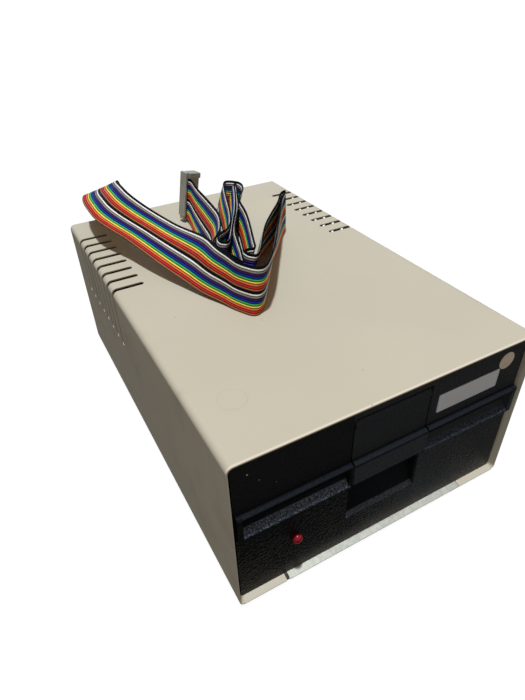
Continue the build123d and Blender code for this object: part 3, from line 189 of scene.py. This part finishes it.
centres, widths = [], []
for x, y, z, lean in ROUTE:
    w = across(lean)
    if z is None:
        z = H + 0.2 + PITCH * WAYS / 2 * w.z + RIDGE * math.hypot(w.x, w.y)
    centres.append(pt(x, y, z))
    widths.append(w)
line = nurbs_points("route", centres)
sides = nurbs_points("route_across", widths)

# the cross-section of one conductor: offset from its middle and half thickness, in mm
BUMP = [(-0.635, WEB), (-0.50, WEB), (-0.40, 0.30), (-0.15, 0.45), (0.15, 0.45), (0.40, 0.30), (0.50, WEB)]
profile = []
for k in range(WAYS):
    middle = (WAYS / 2 - 0.5 - k) * PITCH
    for u, h in BUMP:
        # the outer strips of a conductor are the web, given a darker copy of its colour as painted shade in the valleys
        profile.append((middle - u, h, 10 + k % 10 if u < -0.49 or u > 0.39 else k % 10))
profile.append((-WAYS / 2 * PITCH, WEB, 19))
COUNT = len(profile)

verts, faces, ways = [], [], []
for i, c in enumerate(line):
    a = line[max(i - 1, 0)]
    b = line[min(i + 1, len(line) - 1)]
    t = (b - a).normalized()
    w = sides[i].normalized()
    n = t.cross(w).normalized()
    for u, h, k in profile:
        verts.append(c + (w * u + n * h) / 1000)
    for u, h, k in profile:
        verts.append(c + (w * u - n * h) / 1000)
ring = 2 * COUNT
for i in range(len(line) - 1):
    p, q = i * ring, (i + 1) * ring
    for j in range(COUNT - 1):
        faces.append((p + j, q + j, q + j + 1, p + j + 1))
        ways.append(profile[j][2])
        faces.append((p + COUNT + j, p + COUNT + j + 1, q + COUNT + j + 1, q + COUNT + j))
        ways.append(profile[j][2])
    faces.append((p, p + COUNT, q + COUNT, q))
    ways.append(10)
    e = COUNT - 1
    faces.append((p + e, q + e, q + COUNT + e, p + COUNT + e))
    ways.append(19)
for p in (0, (len(line) - 1) * ring):
    for j in range(COUNT - 1):
        f = (p + j, p + j + 1, p + COUNT + j + 1, p + COUNT + j)
        faces.append(f if p == 0 else tuple(reversed(f)))
        ways.append(profile[j][2])
mesh = bpy.data.meshes.new("ribbon_cable")
mesh.from_pydata(verts, [], faces)
mesh.validate()
for f in mesh.polygons:
    f.use_smooth = True
ribbon = bpy.data.objects.new("ribbon_cable", mesh)
scene.collection.objects.link(ribbon)
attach(ribbon, "drive_frame")
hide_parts("ribbon_rise", "ribbon_twist", "ribbon_run")


# ---------------------------------------------------------------- materials

def lin(r, g, b):
    """An sRGB colour, 0 to 255, as the shader's linear values."""
    out = []
    for c in (r, g, b):
        c = c / 255
        out.append(c / 12.92 if c <= 0.04045 else ((c + 0.055) / 1.055) ** 2.4)
    return (out[0], out[1], out[2], 1.0)


class Finish:
    """A Principled material with its texture coordinates in the row frame."""

    def __init__(self, name, metallic=0.0, ior=1.5, coat=0.0, coat_rough=0.1, sheen=0.0, specular=0.5,
                 transmission=0.0, subsurface=0.0):
        self.mat = bpy.data.materials.new(name)
        self.mat.use_nodes = True
        self.nt = self.mat.node_tree
        self.bsdf = self.nt.nodes["Principled BSDF"]
        self.put("Metallic", metallic)
        self.put("IOR", ior)
        self.put("Coat Weight", coat)
        self.put("Coat Roughness", coat_rough)
        self.put("Sheen Weight", sheen)
        self.put("Specular IOR Level", specular)
        self.put("Transmission Weight", transmission)
        self.put("Subsurface Weight", subsurface)
        self.space = self.node("ShaderNodeTexCoord").outputs["Object"]

    def put(self, socket, value):
        self.bsdf.inputs[socket].default_value = value

    def node(self, kind, **values):
        n = self.nt.nodes.new(kind)
        for k, v in values.items():
            setattr(n, k, v)
        return n

    def feed(self, socket, value):
        if isinstance(value, bpy.types.NodeSocket):
            self.nt.links.new(value, socket)
        else:
            socket.default_value = value

    def math(self, op, a, b=0.5, c=0.5, clamp=False):
        n = self.node("ShaderNodeMath", operation=op, use_clamp=clamp)
        for s, v in zip(n.inputs, (a, b, c)):
            self.feed(s, v)
        return n.outputs[0]

    def noise(self, scale, detail=3.0, rough=0.55, distortion=0.0, vector=None):
        n = self.node("ShaderNodeTexNoise")
        self.feed(n.inputs["Vector"], vector or self.space)
        self.feed(n.inputs["Scale"], scale)
        self.feed(n.inputs["Detail"], detail)
        self.feed(n.inputs["Roughness"], rough)
        self.feed(n.inputs["Distortion"], distortion)
        return n.outputs[0]

    def cells(self, scale, feature="F1", out="Distance", vector=None):
        n = self.node("ShaderNodeTexVoronoi", feature=feature)
        self.feed(n.inputs["Vector"], vector or self.space)
        self.feed(n.inputs["Scale"], scale)
        return n.outputs[out]

    def stretch(self, x, y, z, vector=None):
        n = self.node("ShaderNodeMapping")
        self.feed(n.inputs["Vector"], vector or self.space)
        n.inputs["Scale"].default_value = (x, y, z)
        return n.outputs[0]

    def step(self, value, low, high, out_low=0.0, out_high=1.0):
        n = self.node("ShaderNodeMapRange", interpolation_type="SMOOTHSTEP")
        n.clamp = True
        self.feed(n.inputs["Value"], value)
        n.inputs["From Min"].default_value = low
        n.inputs["From Max"].default_value = high
        n.inputs["To Min"].default_value = out_low
        n.inputs["To Max"].default_value = out_high
        return n.outputs[0]

    def mix(self, factor, a, b):
        n = self.node("ShaderNodeMix", data_type="RGBA")
        self.feed(n.inputs[0], factor)
        self.feed(n.inputs[6], a)
        self.feed(n.inputs[7], b)
        return n.outputs[2]

    def parts(self):
        n = self.node("ShaderNodeSeparateXYZ")
        self.feed(n.inputs[0], self.space)
        return n.outputs[0], n.outputs[1], n.outputs[2]

    def colour(self, value):
        self.feed(self.bsdf.inputs["Base Color"], value)

    def rough(self, value):
        self.feed(self.bsdf.inputs["Roughness"], value)

    def bump(self, height, distance, strength=1.0):
        n = self.node("ShaderNodeBump")
        n.inputs["Strength"].default_value = strength
        n.inputs["Distance"].default_value = distance
        self.feed(n.inputs["Height"], height)
        self.feed(self.bsdf.inputs["Normal"], n.outputs[0])


def plain(name, colour, rough, vary=0.12, scale=60.0, grain=900.0, depth=0.00001, wear=None, **kw):
    """A material with soft tone changes, uneven gloss, a fine grain and, if asked, rubbed or dusty patches."""
    f = Finish(name, **kw)
    dark = tuple(c * (1 - vary) for c in colour[:3]) + (1.0,)
    lite = tuple(min(1.0, c * (1 + vary)) for c in colour[:3]) + (1.0,)
    tone = f.mix(f.step(f.noise(scale), 0.35, 0.65), dark, lite)
    if wear:
        patch = f.step(f.noise(scale * 2.3, detail=6.0, rough=0.7), 0.60, 0.72)
        tone = f.mix(patch, tone, wear)
    f.colour(tone)
    f.rough(f.step(f.noise(scale * 0.7, detail=5.0), 0.3, 0.7, max(0.03, rough - 0.08), rough + 0.10))
    f.bump(f.noise(grain, detail=4.0), depth)
    return f


def wearing(f, *names):
    for n in names:
        o = nodes[n]
        o.data.materials.clear()
        o.data.materials.append(f.mat)


# beige enamel on the sheet steel case
case = Finish("case_enamel", coat=0.03, coat_rough=0.30, specular=0.22)
x, y, z = case.parts()
soft = case.step(case.noise(9.0, detail=4.0), 0.3, 0.7)
tone = case.mix(soft, lin(192, 187, 171), lin(196, 191, 175))
# grime that gathers along the bends, the rear and the vent slots
near_side = case.step(case.math("ABSOLUTE", x), 0.0715, 0.0772)
dirt = case.math("MULTIPLY", near_side, case.step(case.noise(45.0, detail=6.0, rough=0.65), 0.45, 0.75))
tone = case.mix(case.math("MULTIPLY", dirt, 0.28), tone, lin(150, 136, 110))
# a faint round mark on the top, left by something that stood there
mark_x = case.math("SUBTRACT", x, -0.0594)
mark_y = case.math("SUBTRACT", y, -0.0872)
away = case.math("SQRT", case.math("ADD", case.math("MULTIPLY", mark_x, mark_x), case.math("MULTIPLY", mark_y, mark_y)))
ring_line = case.math("SUBTRACT", 1.0, case.step(case.math("ABSOLUTE", case.math("SUBTRACT", away, 0.0060)), 0.0001, 0.0008))
ring_line = case.math("MULTIPLY", ring_line, case.step(case.noise(80.0), 0.35, 0.65, 0.3, 1.0))
ring_line = case.math("MULTIPLY", ring_line, case.step(z, 0.088, 0.090))
tone = case.mix(case.math("MULTIPLY", ring_line, 0.15), tone, lin(150, 138, 116))
# painted highlight on a thin band just behind the top's front edge, where its rounding would catch the light, and
# painted shade on the front edge itself
upper = case.step(z, 0.0885, 0.0905)
rubbed = case.math("MULTIPLY", case.step(y, -0.1180, -0.1177), case.step(y, -0.1172, -0.1166, 1.0, 0.0))
tone = case.mix(case.math("MULTIPLY", case.math("MULTIPLY", upper, rubbed), 0.7), tone, lin(224, 220, 206))
tone = case.mix(case.math("MULTIPLY", case.step(y, -0.1181, -0.1178, 0.8, 0.0), upper), tone, lin(120, 100, 76))
# sparse dark specks
speck = case.math("SUBTRACT", 1.0, case.step(case.cells(95.0), 0.018, 0.045))
speck = case.math("MULTIPLY", speck, case.step(case.cells(95.0, out="Color"), 0.52, 0.56))
tone = case.mix(case.math("MULTIPLY", speck, 0.55), tone, lin(110, 92, 66))
case.colour(tone)
case.rough(case.step(case.noise(30.0, detail=6.0), 0.3, 0.7, 0.42, 0.54))
case.bump(case.noise(520.0, detail=2.0, rough=0.4), 0.000012)
wearing(case, "outer_case")

# zinc plate of the bottom and back
zinc = Finish("zinc_plate", metallic=0.25, specular=0.5)
flake = zinc.cells(900.0, out="Color")
tone = zinc.mix(zinc.step(flake, 0.2, 0.8), lin(182, 184, 172), lin(197, 198, 188))
tone = zinc.mix(zinc.step(zinc.noise(35.0, detail=6.0, rough=0.7), 0.52, 0.75, 0.0, 0.35), tone, lin(150, 140, 118))
zinc.colour(tone)
zinc.rough(zinc.step(zinc.noise(60.0, detail=5.0), 0.3, 0.7, 0.36, 0.55))
zinc.bump(zinc.noise(700.0, detail=3.0), 0.000008)
wearing(zinc, "base_tray", "rear_panel")

# black moulded plastic of the front
bezel = Finish("bezel_plastic", specular=0.13)
x, y, z = bezel.parts()
tone = bezel.mix(bezel.step(bezel.noise(40.0, detail=5.0), 0.35, 0.7), lin(9, 9, 8), lin(13, 13, 12))
# the ledge, the ramp under the slot and the finger recess get painted reflections and painted shade of their own, and
# differ in gloss
facing = bezel.node("ShaderNodeNewGeometry")
tilt = bezel.node("ShaderNodeSeparateXYZ")
bezel.feed(tilt.inputs[0], facing.outputs["True Normal"])
ledge = bezel.math("MULTIPLY", bezel.step(z, 0.0588, 0.0594), bezel.step(z, 0.0614, 0.0617, 1.0, 0.0))
ramp = bezel.math("MULTIPLY", bezel.step(tilt.outputs[2], 0.12, 0.34),
                  bezel.math("MULTIPLY", bezel.step(z, 0.0470, 0.0480), bezel.step(z, 0.0536, 0.0545, 1.0, 0.0)))
ramp = bezel.math("MULTIPLY", ramp, bezel.step(bezel.math("ABSOLUTE", bezel.math("ADD", x, 0.0007)), 0.0205, 0.0207))
# the ramp's upper end lies in the dark of the slot, further down on the right
upper_end = bezel.math("SUBTRACT", z, bezel.step(x, -0.022, 0.022, 0.0517, 0.0509))
ramp_lit = bezel.math("MULTIPLY", ramp, bezel.step(upper_end, -0.0002, 0.0002, 1.0, 0.0))
ramp_dark = bezel.math("SUBTRACT", ramp, ramp_lit)
recess = bezel.math("MULTIPLY", bezel.step(y, -0.1142, -0.1137), bezel.step(z, 0.0462, 0.0468, 1.0, 0.0))
right = bezel.step(x, -0.022, 0.022)
door_area = bezel.math("MULTIPLY", bezel.step(bezel.math("ABSOLUTE", bezel.math("ADD", x, 0.0007)), 0.0203, 0.0206, 1.0, 0.0),
                       bezel.step(z, 0.0470, 0.0480))
tone = bezel.mix(bezel.step(z, 0.0600, 0.0620), tone, lin(32, 33, 34))
tone = bezel.mix(bezel.math("MULTIPLY", bezel.math("MAXIMUM", right, door_area), 0.9), tone, lin(54, 58, 62))
# painted glints: a fine speckle that sets where the ledge, the recess rim and the ramp are painted paler, like grain
# catching light
painted_glints = bezel.step(bezel.noise(1900.0, detail=3.0, rough=0.65), 0.42, 0.62, 0.05, 1.0)
# painted reflection: the ledge is painted a bluish grey with glints, as the sky would mirror in it
tone = bezel.mix(bezel.math("MULTIPLY", ledge, 0.9), tone, bezel.mix(painted_glints, lin(10, 13, 16), lin(24, 29, 36)))
# painted shade inside the finger recess, and a painted bluish reflection with glints on its lower edge
tone = bezel.mix(bezel.math("MULTIPLY", recess, 0.8), tone, lin(12, 10, 7))
rim = bezel.math("MULTIPLY", bezel.math("MULTIPLY", bezel.step(tilt.outputs[2], 0.45, 0.6), bezel.step(z, 0.0244, 0.0248, 1.0, 0.0)),
                 bezel.math("MULTIPLY", bezel.step(z, 0.0214, 0.0218), bezel.step(bezel.math("ABSOLUTE", bezel.math("ADD", x, 0.0007)), 0.0203, 0.0206, 1.0, 0.0)))
tone = bezel.mix(bezel.math("MULTIPLY", rim, bezel.math("ADD", bezel.math("MULTIPLY", painted_glints, 0.6), 0.2)), tone, lin(120, 134, 156))
# painted reflection: the ramp's lower part is painted pale bluish with glints, as if mirroring the sky, and painted
# fainter on the right, as if partly in shade
ramp_painted_reflection = bezel.mix(bezel.math("MULTIPLY", painted_glints, bezel.step(right, 0.0, 1.0, 1.0, 0.40)), lin(12, 14, 18), lin(116, 131, 152))
tone = bezel.mix(ramp_lit, tone, ramp_painted_reflection)
# painted reflection: the lowest strip is painted paler, as the bright tray below it would mirror in it
painted_tray_reflection = bezel.math("MULTIPLY", bezel.step(z, 0.0045, 0.0135, 1.0, 0.0), bezel.step(x, -0.060, -0.048, 0.35, 1.0))
tone = bezel.mix(bezel.math("MULTIPLY", painted_tray_reflection, 0.85), tone, lin(84, 78, 72))
dust = bezel.step(bezel.noise(1500.0, detail=2.0, rough=0.6), 0.66, 0.76)
dust = bezel.math("MULTIPLY", dust, bezel.step(bezel.noise(60.0, detail=4.0), 0.45, 0.65))
tone = bezel.mix(bezel.math("MULTIPLY", dust, 0.05), tone, lin(120, 122, 124))
fleck = bezel.math("SUBTRACT", 1.0, bezel.step(bezel.cells(160.0), 0.014, 0.030))
fleck = bezel.math("MULTIPLY", fleck, bezel.step(bezel.cells(160.0, out="Color"), 0.60, 0.64))
tone = bezel.mix(bezel.math("MULTIPLY", fleck, 0.8), tone, lin(170, 170, 168))
# two larger specks on the upper left
for sx, sz, size in ((-0.0680, 0.0811, 0.00042), (-0.0633, 0.0755, 0.00026), (-0.0560, 0.0700, 0.00018)):
    gap_x = bezel.math("SUBTRACT", x, sx)
    gap_z = bezel.math("SUBTRACT", z, sz)
    gap = bezel.math("SQRT", bezel.math("ADD", bezel.math("MULTIPLY", gap_x, gap_x), bezel.math("MULTIPLY", gap_z, gap_z)))
    tone = bezel.mix(bezel.step(gap, size * 0.7, size, 1.0, 0.0), tone, lin(226, 222, 210))
bezel.colour(tone)
matt = bezel.math("MAXIMUM", ledge, bezel.math("MAXIMUM", recess, ramp_dark))
bezel.rough(bezel.math("ADD", bezel.step(bezel.noise(50.0, detail=5.0), 0.3, 0.7, 0.36, 0.46),
                       bezel.math("MULTIPLY", matt, 0.28)))
# moulded leather grain
grain = bezel.math("ADD", bezel.math("MULTIPLY", bezel.noise(1300.0, detail=2.0), 0.5),
                   bezel.cells(900.0, feature="SMOOTH_F1"))
leather = bezel.node("ShaderNodeBump")
leather.inputs["Distance"].default_value = 0.0006
bezel.feed(leather.inputs["Strength"], bezel.math("SUBTRACT", 1.0, bezel.math("MULTIPLY", ledge, 0.75)))
bezel.feed(leather.inputs["Height"], grain)
bezel.feed(bezel.bsdf.inputs["Normal"], leather.outputs[0])
wearing(bezel, "front_bezel", "door")

plate = Finish("plate_metal", metallic=0.05, specular=0.5)
tone = plate.mix(plate.noise(300.0, vector=plate.stretch(0.1, 1.0, 4.0)), lin(228, 238, 248), lin(238, 246, 254))
tone = plate.mix(plate.step(plate.noise(160.0, detail=6.0, rough=0.7), 0.58, 0.72, 0.0, 0.25), tone, lin(190, 192, 192))
plate.colour(tone)
plate.rough(plate.step(plate.noise(120.0), 0.3, 0.7, 0.36, 0.50))
plate.bump(plate.noise(1400.0, vector=plate.stretch(0.05, 1.0, 1.0)), 0.000006)
wearing(plate, "nameplate")

dot = plain("paper_dot", lin(236, 224, 204), 0.75, vary=0.05, scale=220.0, grain=2500.0, depth=0.00002,
            wear=lin(238, 226, 204))
wearing(dot, "dot_sticker")

lamp = plain("lamp_red", lin(132, 5, 9), 0.14, vary=0.12, scale=300.0, grain=600.0, depth=0.0000005,
             coat=0.5, coat_rough=0.03, ior=1.54, specular=0.2)
wearing(lamp, "indicator_led")

steel = plain("screw_steel", lin(168, 168, 164), 0.32, vary=0.15, scale=200.0, grain=2600.0, depth=0.000004,
              wear=lin(120, 112, 98), metallic=1.0)
wearing(steel, "case_screws", "rear_panel_screws", "bezel_screws", "chassis_screws", "motor_screws", "board_screws",
        "cable_clamp_screws")
ground = plain("ground_steel", lin(190, 190, 190), 0.18, vary=0.06, scale=120.0, grain=4200.0, depth=0.000002,
               metallic=1.0)
wearing(ground, "led_legs", "door_hinge_pin", "spindle_bearings", "spindle_hub", "guide_rods", "band_wrap", "steel_band",
        "pad_arm_pin", "clamp_pivot_pins", "clamp_clip")
cast = plain("cast_aluminium", lin(158, 160, 161), 0.46, vary=0.10, scale=70.0, grain=1500.0, depth=0.00003,
             wear=lin(128, 126, 120), metallic=0.9)
wearing(cast, "chassis", "flywheel", "rod_supports", "clamp_arm")
motor = plain("motor_steel", lin(132, 134, 134), 0.38, vary=0.12, scale=90.0, grain=1800.0, depth=0.000006,
              wear=lin(96, 92, 84), metallic=0.95)
wearing(motor, "drive_motor", "stepper_motor")
brass = plain("turned_brass", lin(190, 152, 84), 0.26, vary=0.10, scale=160.0, grain=2600.0, depth=0.000004,
              wear=lin(140, 104, 52), metallic=1.0)
wearing(brass, "motor_pulley", "capstan", "board_standoffs")
rubber = plain("black_rubber", lin(30, 30, 30), 0.78, vary=0.2, scale=140.0, grain=1700.0, depth=0.00003,
               wear=lin(66, 64, 60), sheen=0.15)
wearing(rubber, "rubber_feet", "drive_belt")
nylon = plain("black_nylon", lin(34, 34, 36), 0.45, vary=0.15, scale=110.0, grain=1500.0, depth=0.00002,
              wear=lin(58, 57, 55))
wearing(nylon, "disk_guide_left", "disk_guide_right", "head_carriage", "board_header", "track_zero_switch",
        "write_protect_switch", "index_sensor", "cable_clamp")
white = plain("white_nylon", lin(216, 212, 196), 0.42, vary=0.05, scale=110.0, grain=1500.0, depth=0.00001,
              wear=lin(188, 178, 150), subsurface=0.08)
wearing(white, "pad_arm", "clamp_cone")
ferrite = plain("ferrite", lin(58, 56, 60), 0.25, vary=0.10, scale=300.0, grain=3000.0, depth=0.000003)
wearing(ferrite, "read_write_head")
felt = plain("felt", lin(200, 194, 178), 0.95, vary=0.10, scale=500.0, grain=2600.0, depth=0.00008, sheen=0.5)
wearing(felt, "pressure_pad")
board = plain("board_green", lin(24, 74, 40), 0.32, vary=0.14, scale=130.0, grain=900.0, depth=0.00001,
              coat=0.3, coat_rough=0.2)
wearing(board, "logic_board")
chip = plain("chip_black", lin(34, 34, 35), 0.5, vary=0.10, scale=200.0, grain=2600.0, depth=0.00001)
wearing(chip, "logic_chips")
sleeve = plain("cap_sleeve", lin(34, 52, 104), 0.25, vary=0.08, scale=200.0, grain=900.0, depth=0.000004, coat=0.4)
wearing(sleeve, "capacitors")
lacquer = plain("resistor_lacquer", lin(188, 156, 112), 0.35, vary=0.08, scale=260.0, grain=1200.0, depth=0.00001,
                coat=0.2)
wearing(lacquer, "resistors")
card = plain("strobe_card", lin(222, 220, 212), 0.7, vary=0.05, scale=120.0, grain=2200.0, depth=0.00001)
wearing(card, "strobe_disc")
grey = plain("socket_grey", lin(162, 165, 158), 0.5, vary=0.07, scale=160.0, grain=1400.0, depth=0.000015,
             wear=lin(182, 182, 172))
wearing(grey, "connector_body", "connector_cover", "board_plug")

# the ten insulation colours, from the upper edge down, twice
VINYL = [
    ("black", (4, 4, 5)),
    ("white", (250, 250, 246)),
    ("grey", (140, 140, 140)),
    ("violet", (66, 28, 100)),
    ("blue", (0, 50, 166)),
    ("green", (60, 186, 110)),
    ("yellow", (255, 228, 96)),
    ("orange", (242, 122, 68)),
    ("red", (216, 42, 46)),
    ("brown", (164, 106, 70)),
]
for name, colour in VINYL:
    v = plain("vinyl_" + name, lin(*colour), 0.42, vary=0.06, scale=120.0, grain=500.0, depth=0.000006,
              specular=0.08 if max(colour) < 120 else 0.20)
    mesh.materials.append(v.mat)
# painted shade: darker copies of the ten colours for the webs and the cut edges, where shade falls between the
# conductors
for name, colour in VINYL:
    v = plain("shade_web_" + name, lin(*[c * 0.42 for c in colour]), 0.55, vary=0.06, scale=120.0, grain=500.0, depth=0.000006,
              specular=0.08)
    mesh.materials.append(v.mat)
for f, k in zip(mesh.polygons, ways):
    f.material_index = k

stripes = Finish("vinyl_stripes")
x, y, z = stripes.parts()
along = stripes.math("FRACT", stripes.math("DIVIDE", stripes.math("SUBTRACT", -0.043 + 0.0127, x), 0.0127))
ramp = stripes.node("ShaderNodeValToRGB")
ramp.color_ramp.interpolation = "CONSTANT"
while len(ramp.color_ramp.elements) < 10:
    ramp.color_ramp.elements.new(0.5)
for i, (name, colour) in enumerate(VINYL):
    ramp.color_ramp.elements[i].position = i / 10
    ramp.color_ramp.elements[i].color = lin(*colour)
stripes.feed(ramp.inputs[0], along)
stripes.colour(ramp.outputs[0])
stripes.rough(stripes.step(stripes.noise(80.0), 0.3, 0.7, 0.30, 0.46))
stripes.bump(stripes.noise(500.0), 0.00001)
wearing(stripes, "ribbon_inside")

# ---------------------------------------------------------------- floor and light

floor_mesh = bpy.data.meshes.new("floor")
floor_mesh.from_pydata([(-6, -6, 0), (6, -6, 0), (6, 6, 0), (-6, 6, 0)], [], [(0, 1, 2, 3)])
floor = bpy.data.objects.new("floor", floor_mesh)
scene.collection.objects.link(floor)
pale = Finish("floor_pale", specular=0.0)
tone = pale.mix(pale.step(pale.noise(3.0), 0.3, 0.7), (0.06, 0.06, 0.06, 1.0), (0.07, 0.07, 0.07, 1.0))
# the floor looks nearly white but throws little light back up at the sides
path = pale.node("ShaderNodeLightPath")
tone = pale.mix(path.outputs["Is Diffuse Ray"], tone, (0.185, 0.211, 0.232, 1.0))
pale.colour(pale.mix(path.outputs["Is Glossy Ray"], tone, (0.06, 0.06, 0.06, 1.0)))
pale.rough(pale.step(pale.noise(9.0), 0.3, 0.7, 0.6, 0.8))
# the floor glows white for camera rays only, so that it looks evenly bright and shadows on it stay faint
pale.put("Emission Color", (1.0, 1.0, 1.0, 1.0))
pale.feed(pale.bsdf.inputs["Emission Strength"], pale.math("MULTIPLY", path.outputs["Is Camera Ray"], 0.95))
pale.bump(pale.noise(200.0), 0.00001)
floor_mesh.materials.append(pale.mat)

sun = bpy.data.lights.new("overhead", "SUN")
sun.energy = 2.93
sun.angle = math.radians(3.0)
sun.color = (0.935, 0.973, 0.991)
sun_obj = bpy.data.objects.new("overhead", sun)
scene.collection.objects.link(sun_obj)
sun_obj.location = (0, 0, 1)
# almost straight down, a little from the front and the left
sun_obj.rotation_euler = Vector((0.047, 0.071, -1.0)).to_track_quat("-Z", "Y").to_euler()

world = bpy.data.worlds.new("studio")
scene.world = world
world.use_nodes = True
tree = world.node_tree
back = tree.nodes["Background"]
back.inputs["Color"].default_value = (1.0, 0.74, 0.50, 1.0)
back.inputs["Strength"].default_value = 0.275
rays = tree.nodes.new("ShaderNodeLightPath")


def sky(colour, strength, below, ray):
    """Another colour of the surroundings, for one kind of ray."""
    glow = tree.nodes.new("ShaderNodeBackground")
    glow.inputs["Color"].default_value = colour
    glow.inputs["Strength"].default_value = strength
    pick = tree.nodes.new("ShaderNodeMixShader")
    tree.links.new(rays.outputs[ray], pick.inputs[0])
    tree.links.new(below, pick.inputs[1])
    tree.links.new(glow.outputs[0], pick.inputs[2])
    return pick.outputs[0]


seen = sky((0.52, 0.70, 1.0, 1.0), 0.62, back.outputs[0], "Is Glossy Ray")
seen = sky((1.0, 1.0, 1.0, 1.0), 1.0, seen, "Is Camera Ray")
tree.links.new(seen, tree.nodes["World Output"].inputs["Surface"])

scene.view_settings.view_transform = "Standard"
scene.view_settings.look = "None"
scene.view_settings.exposure = 0.0
scene.view_settings.gamma = 1.0
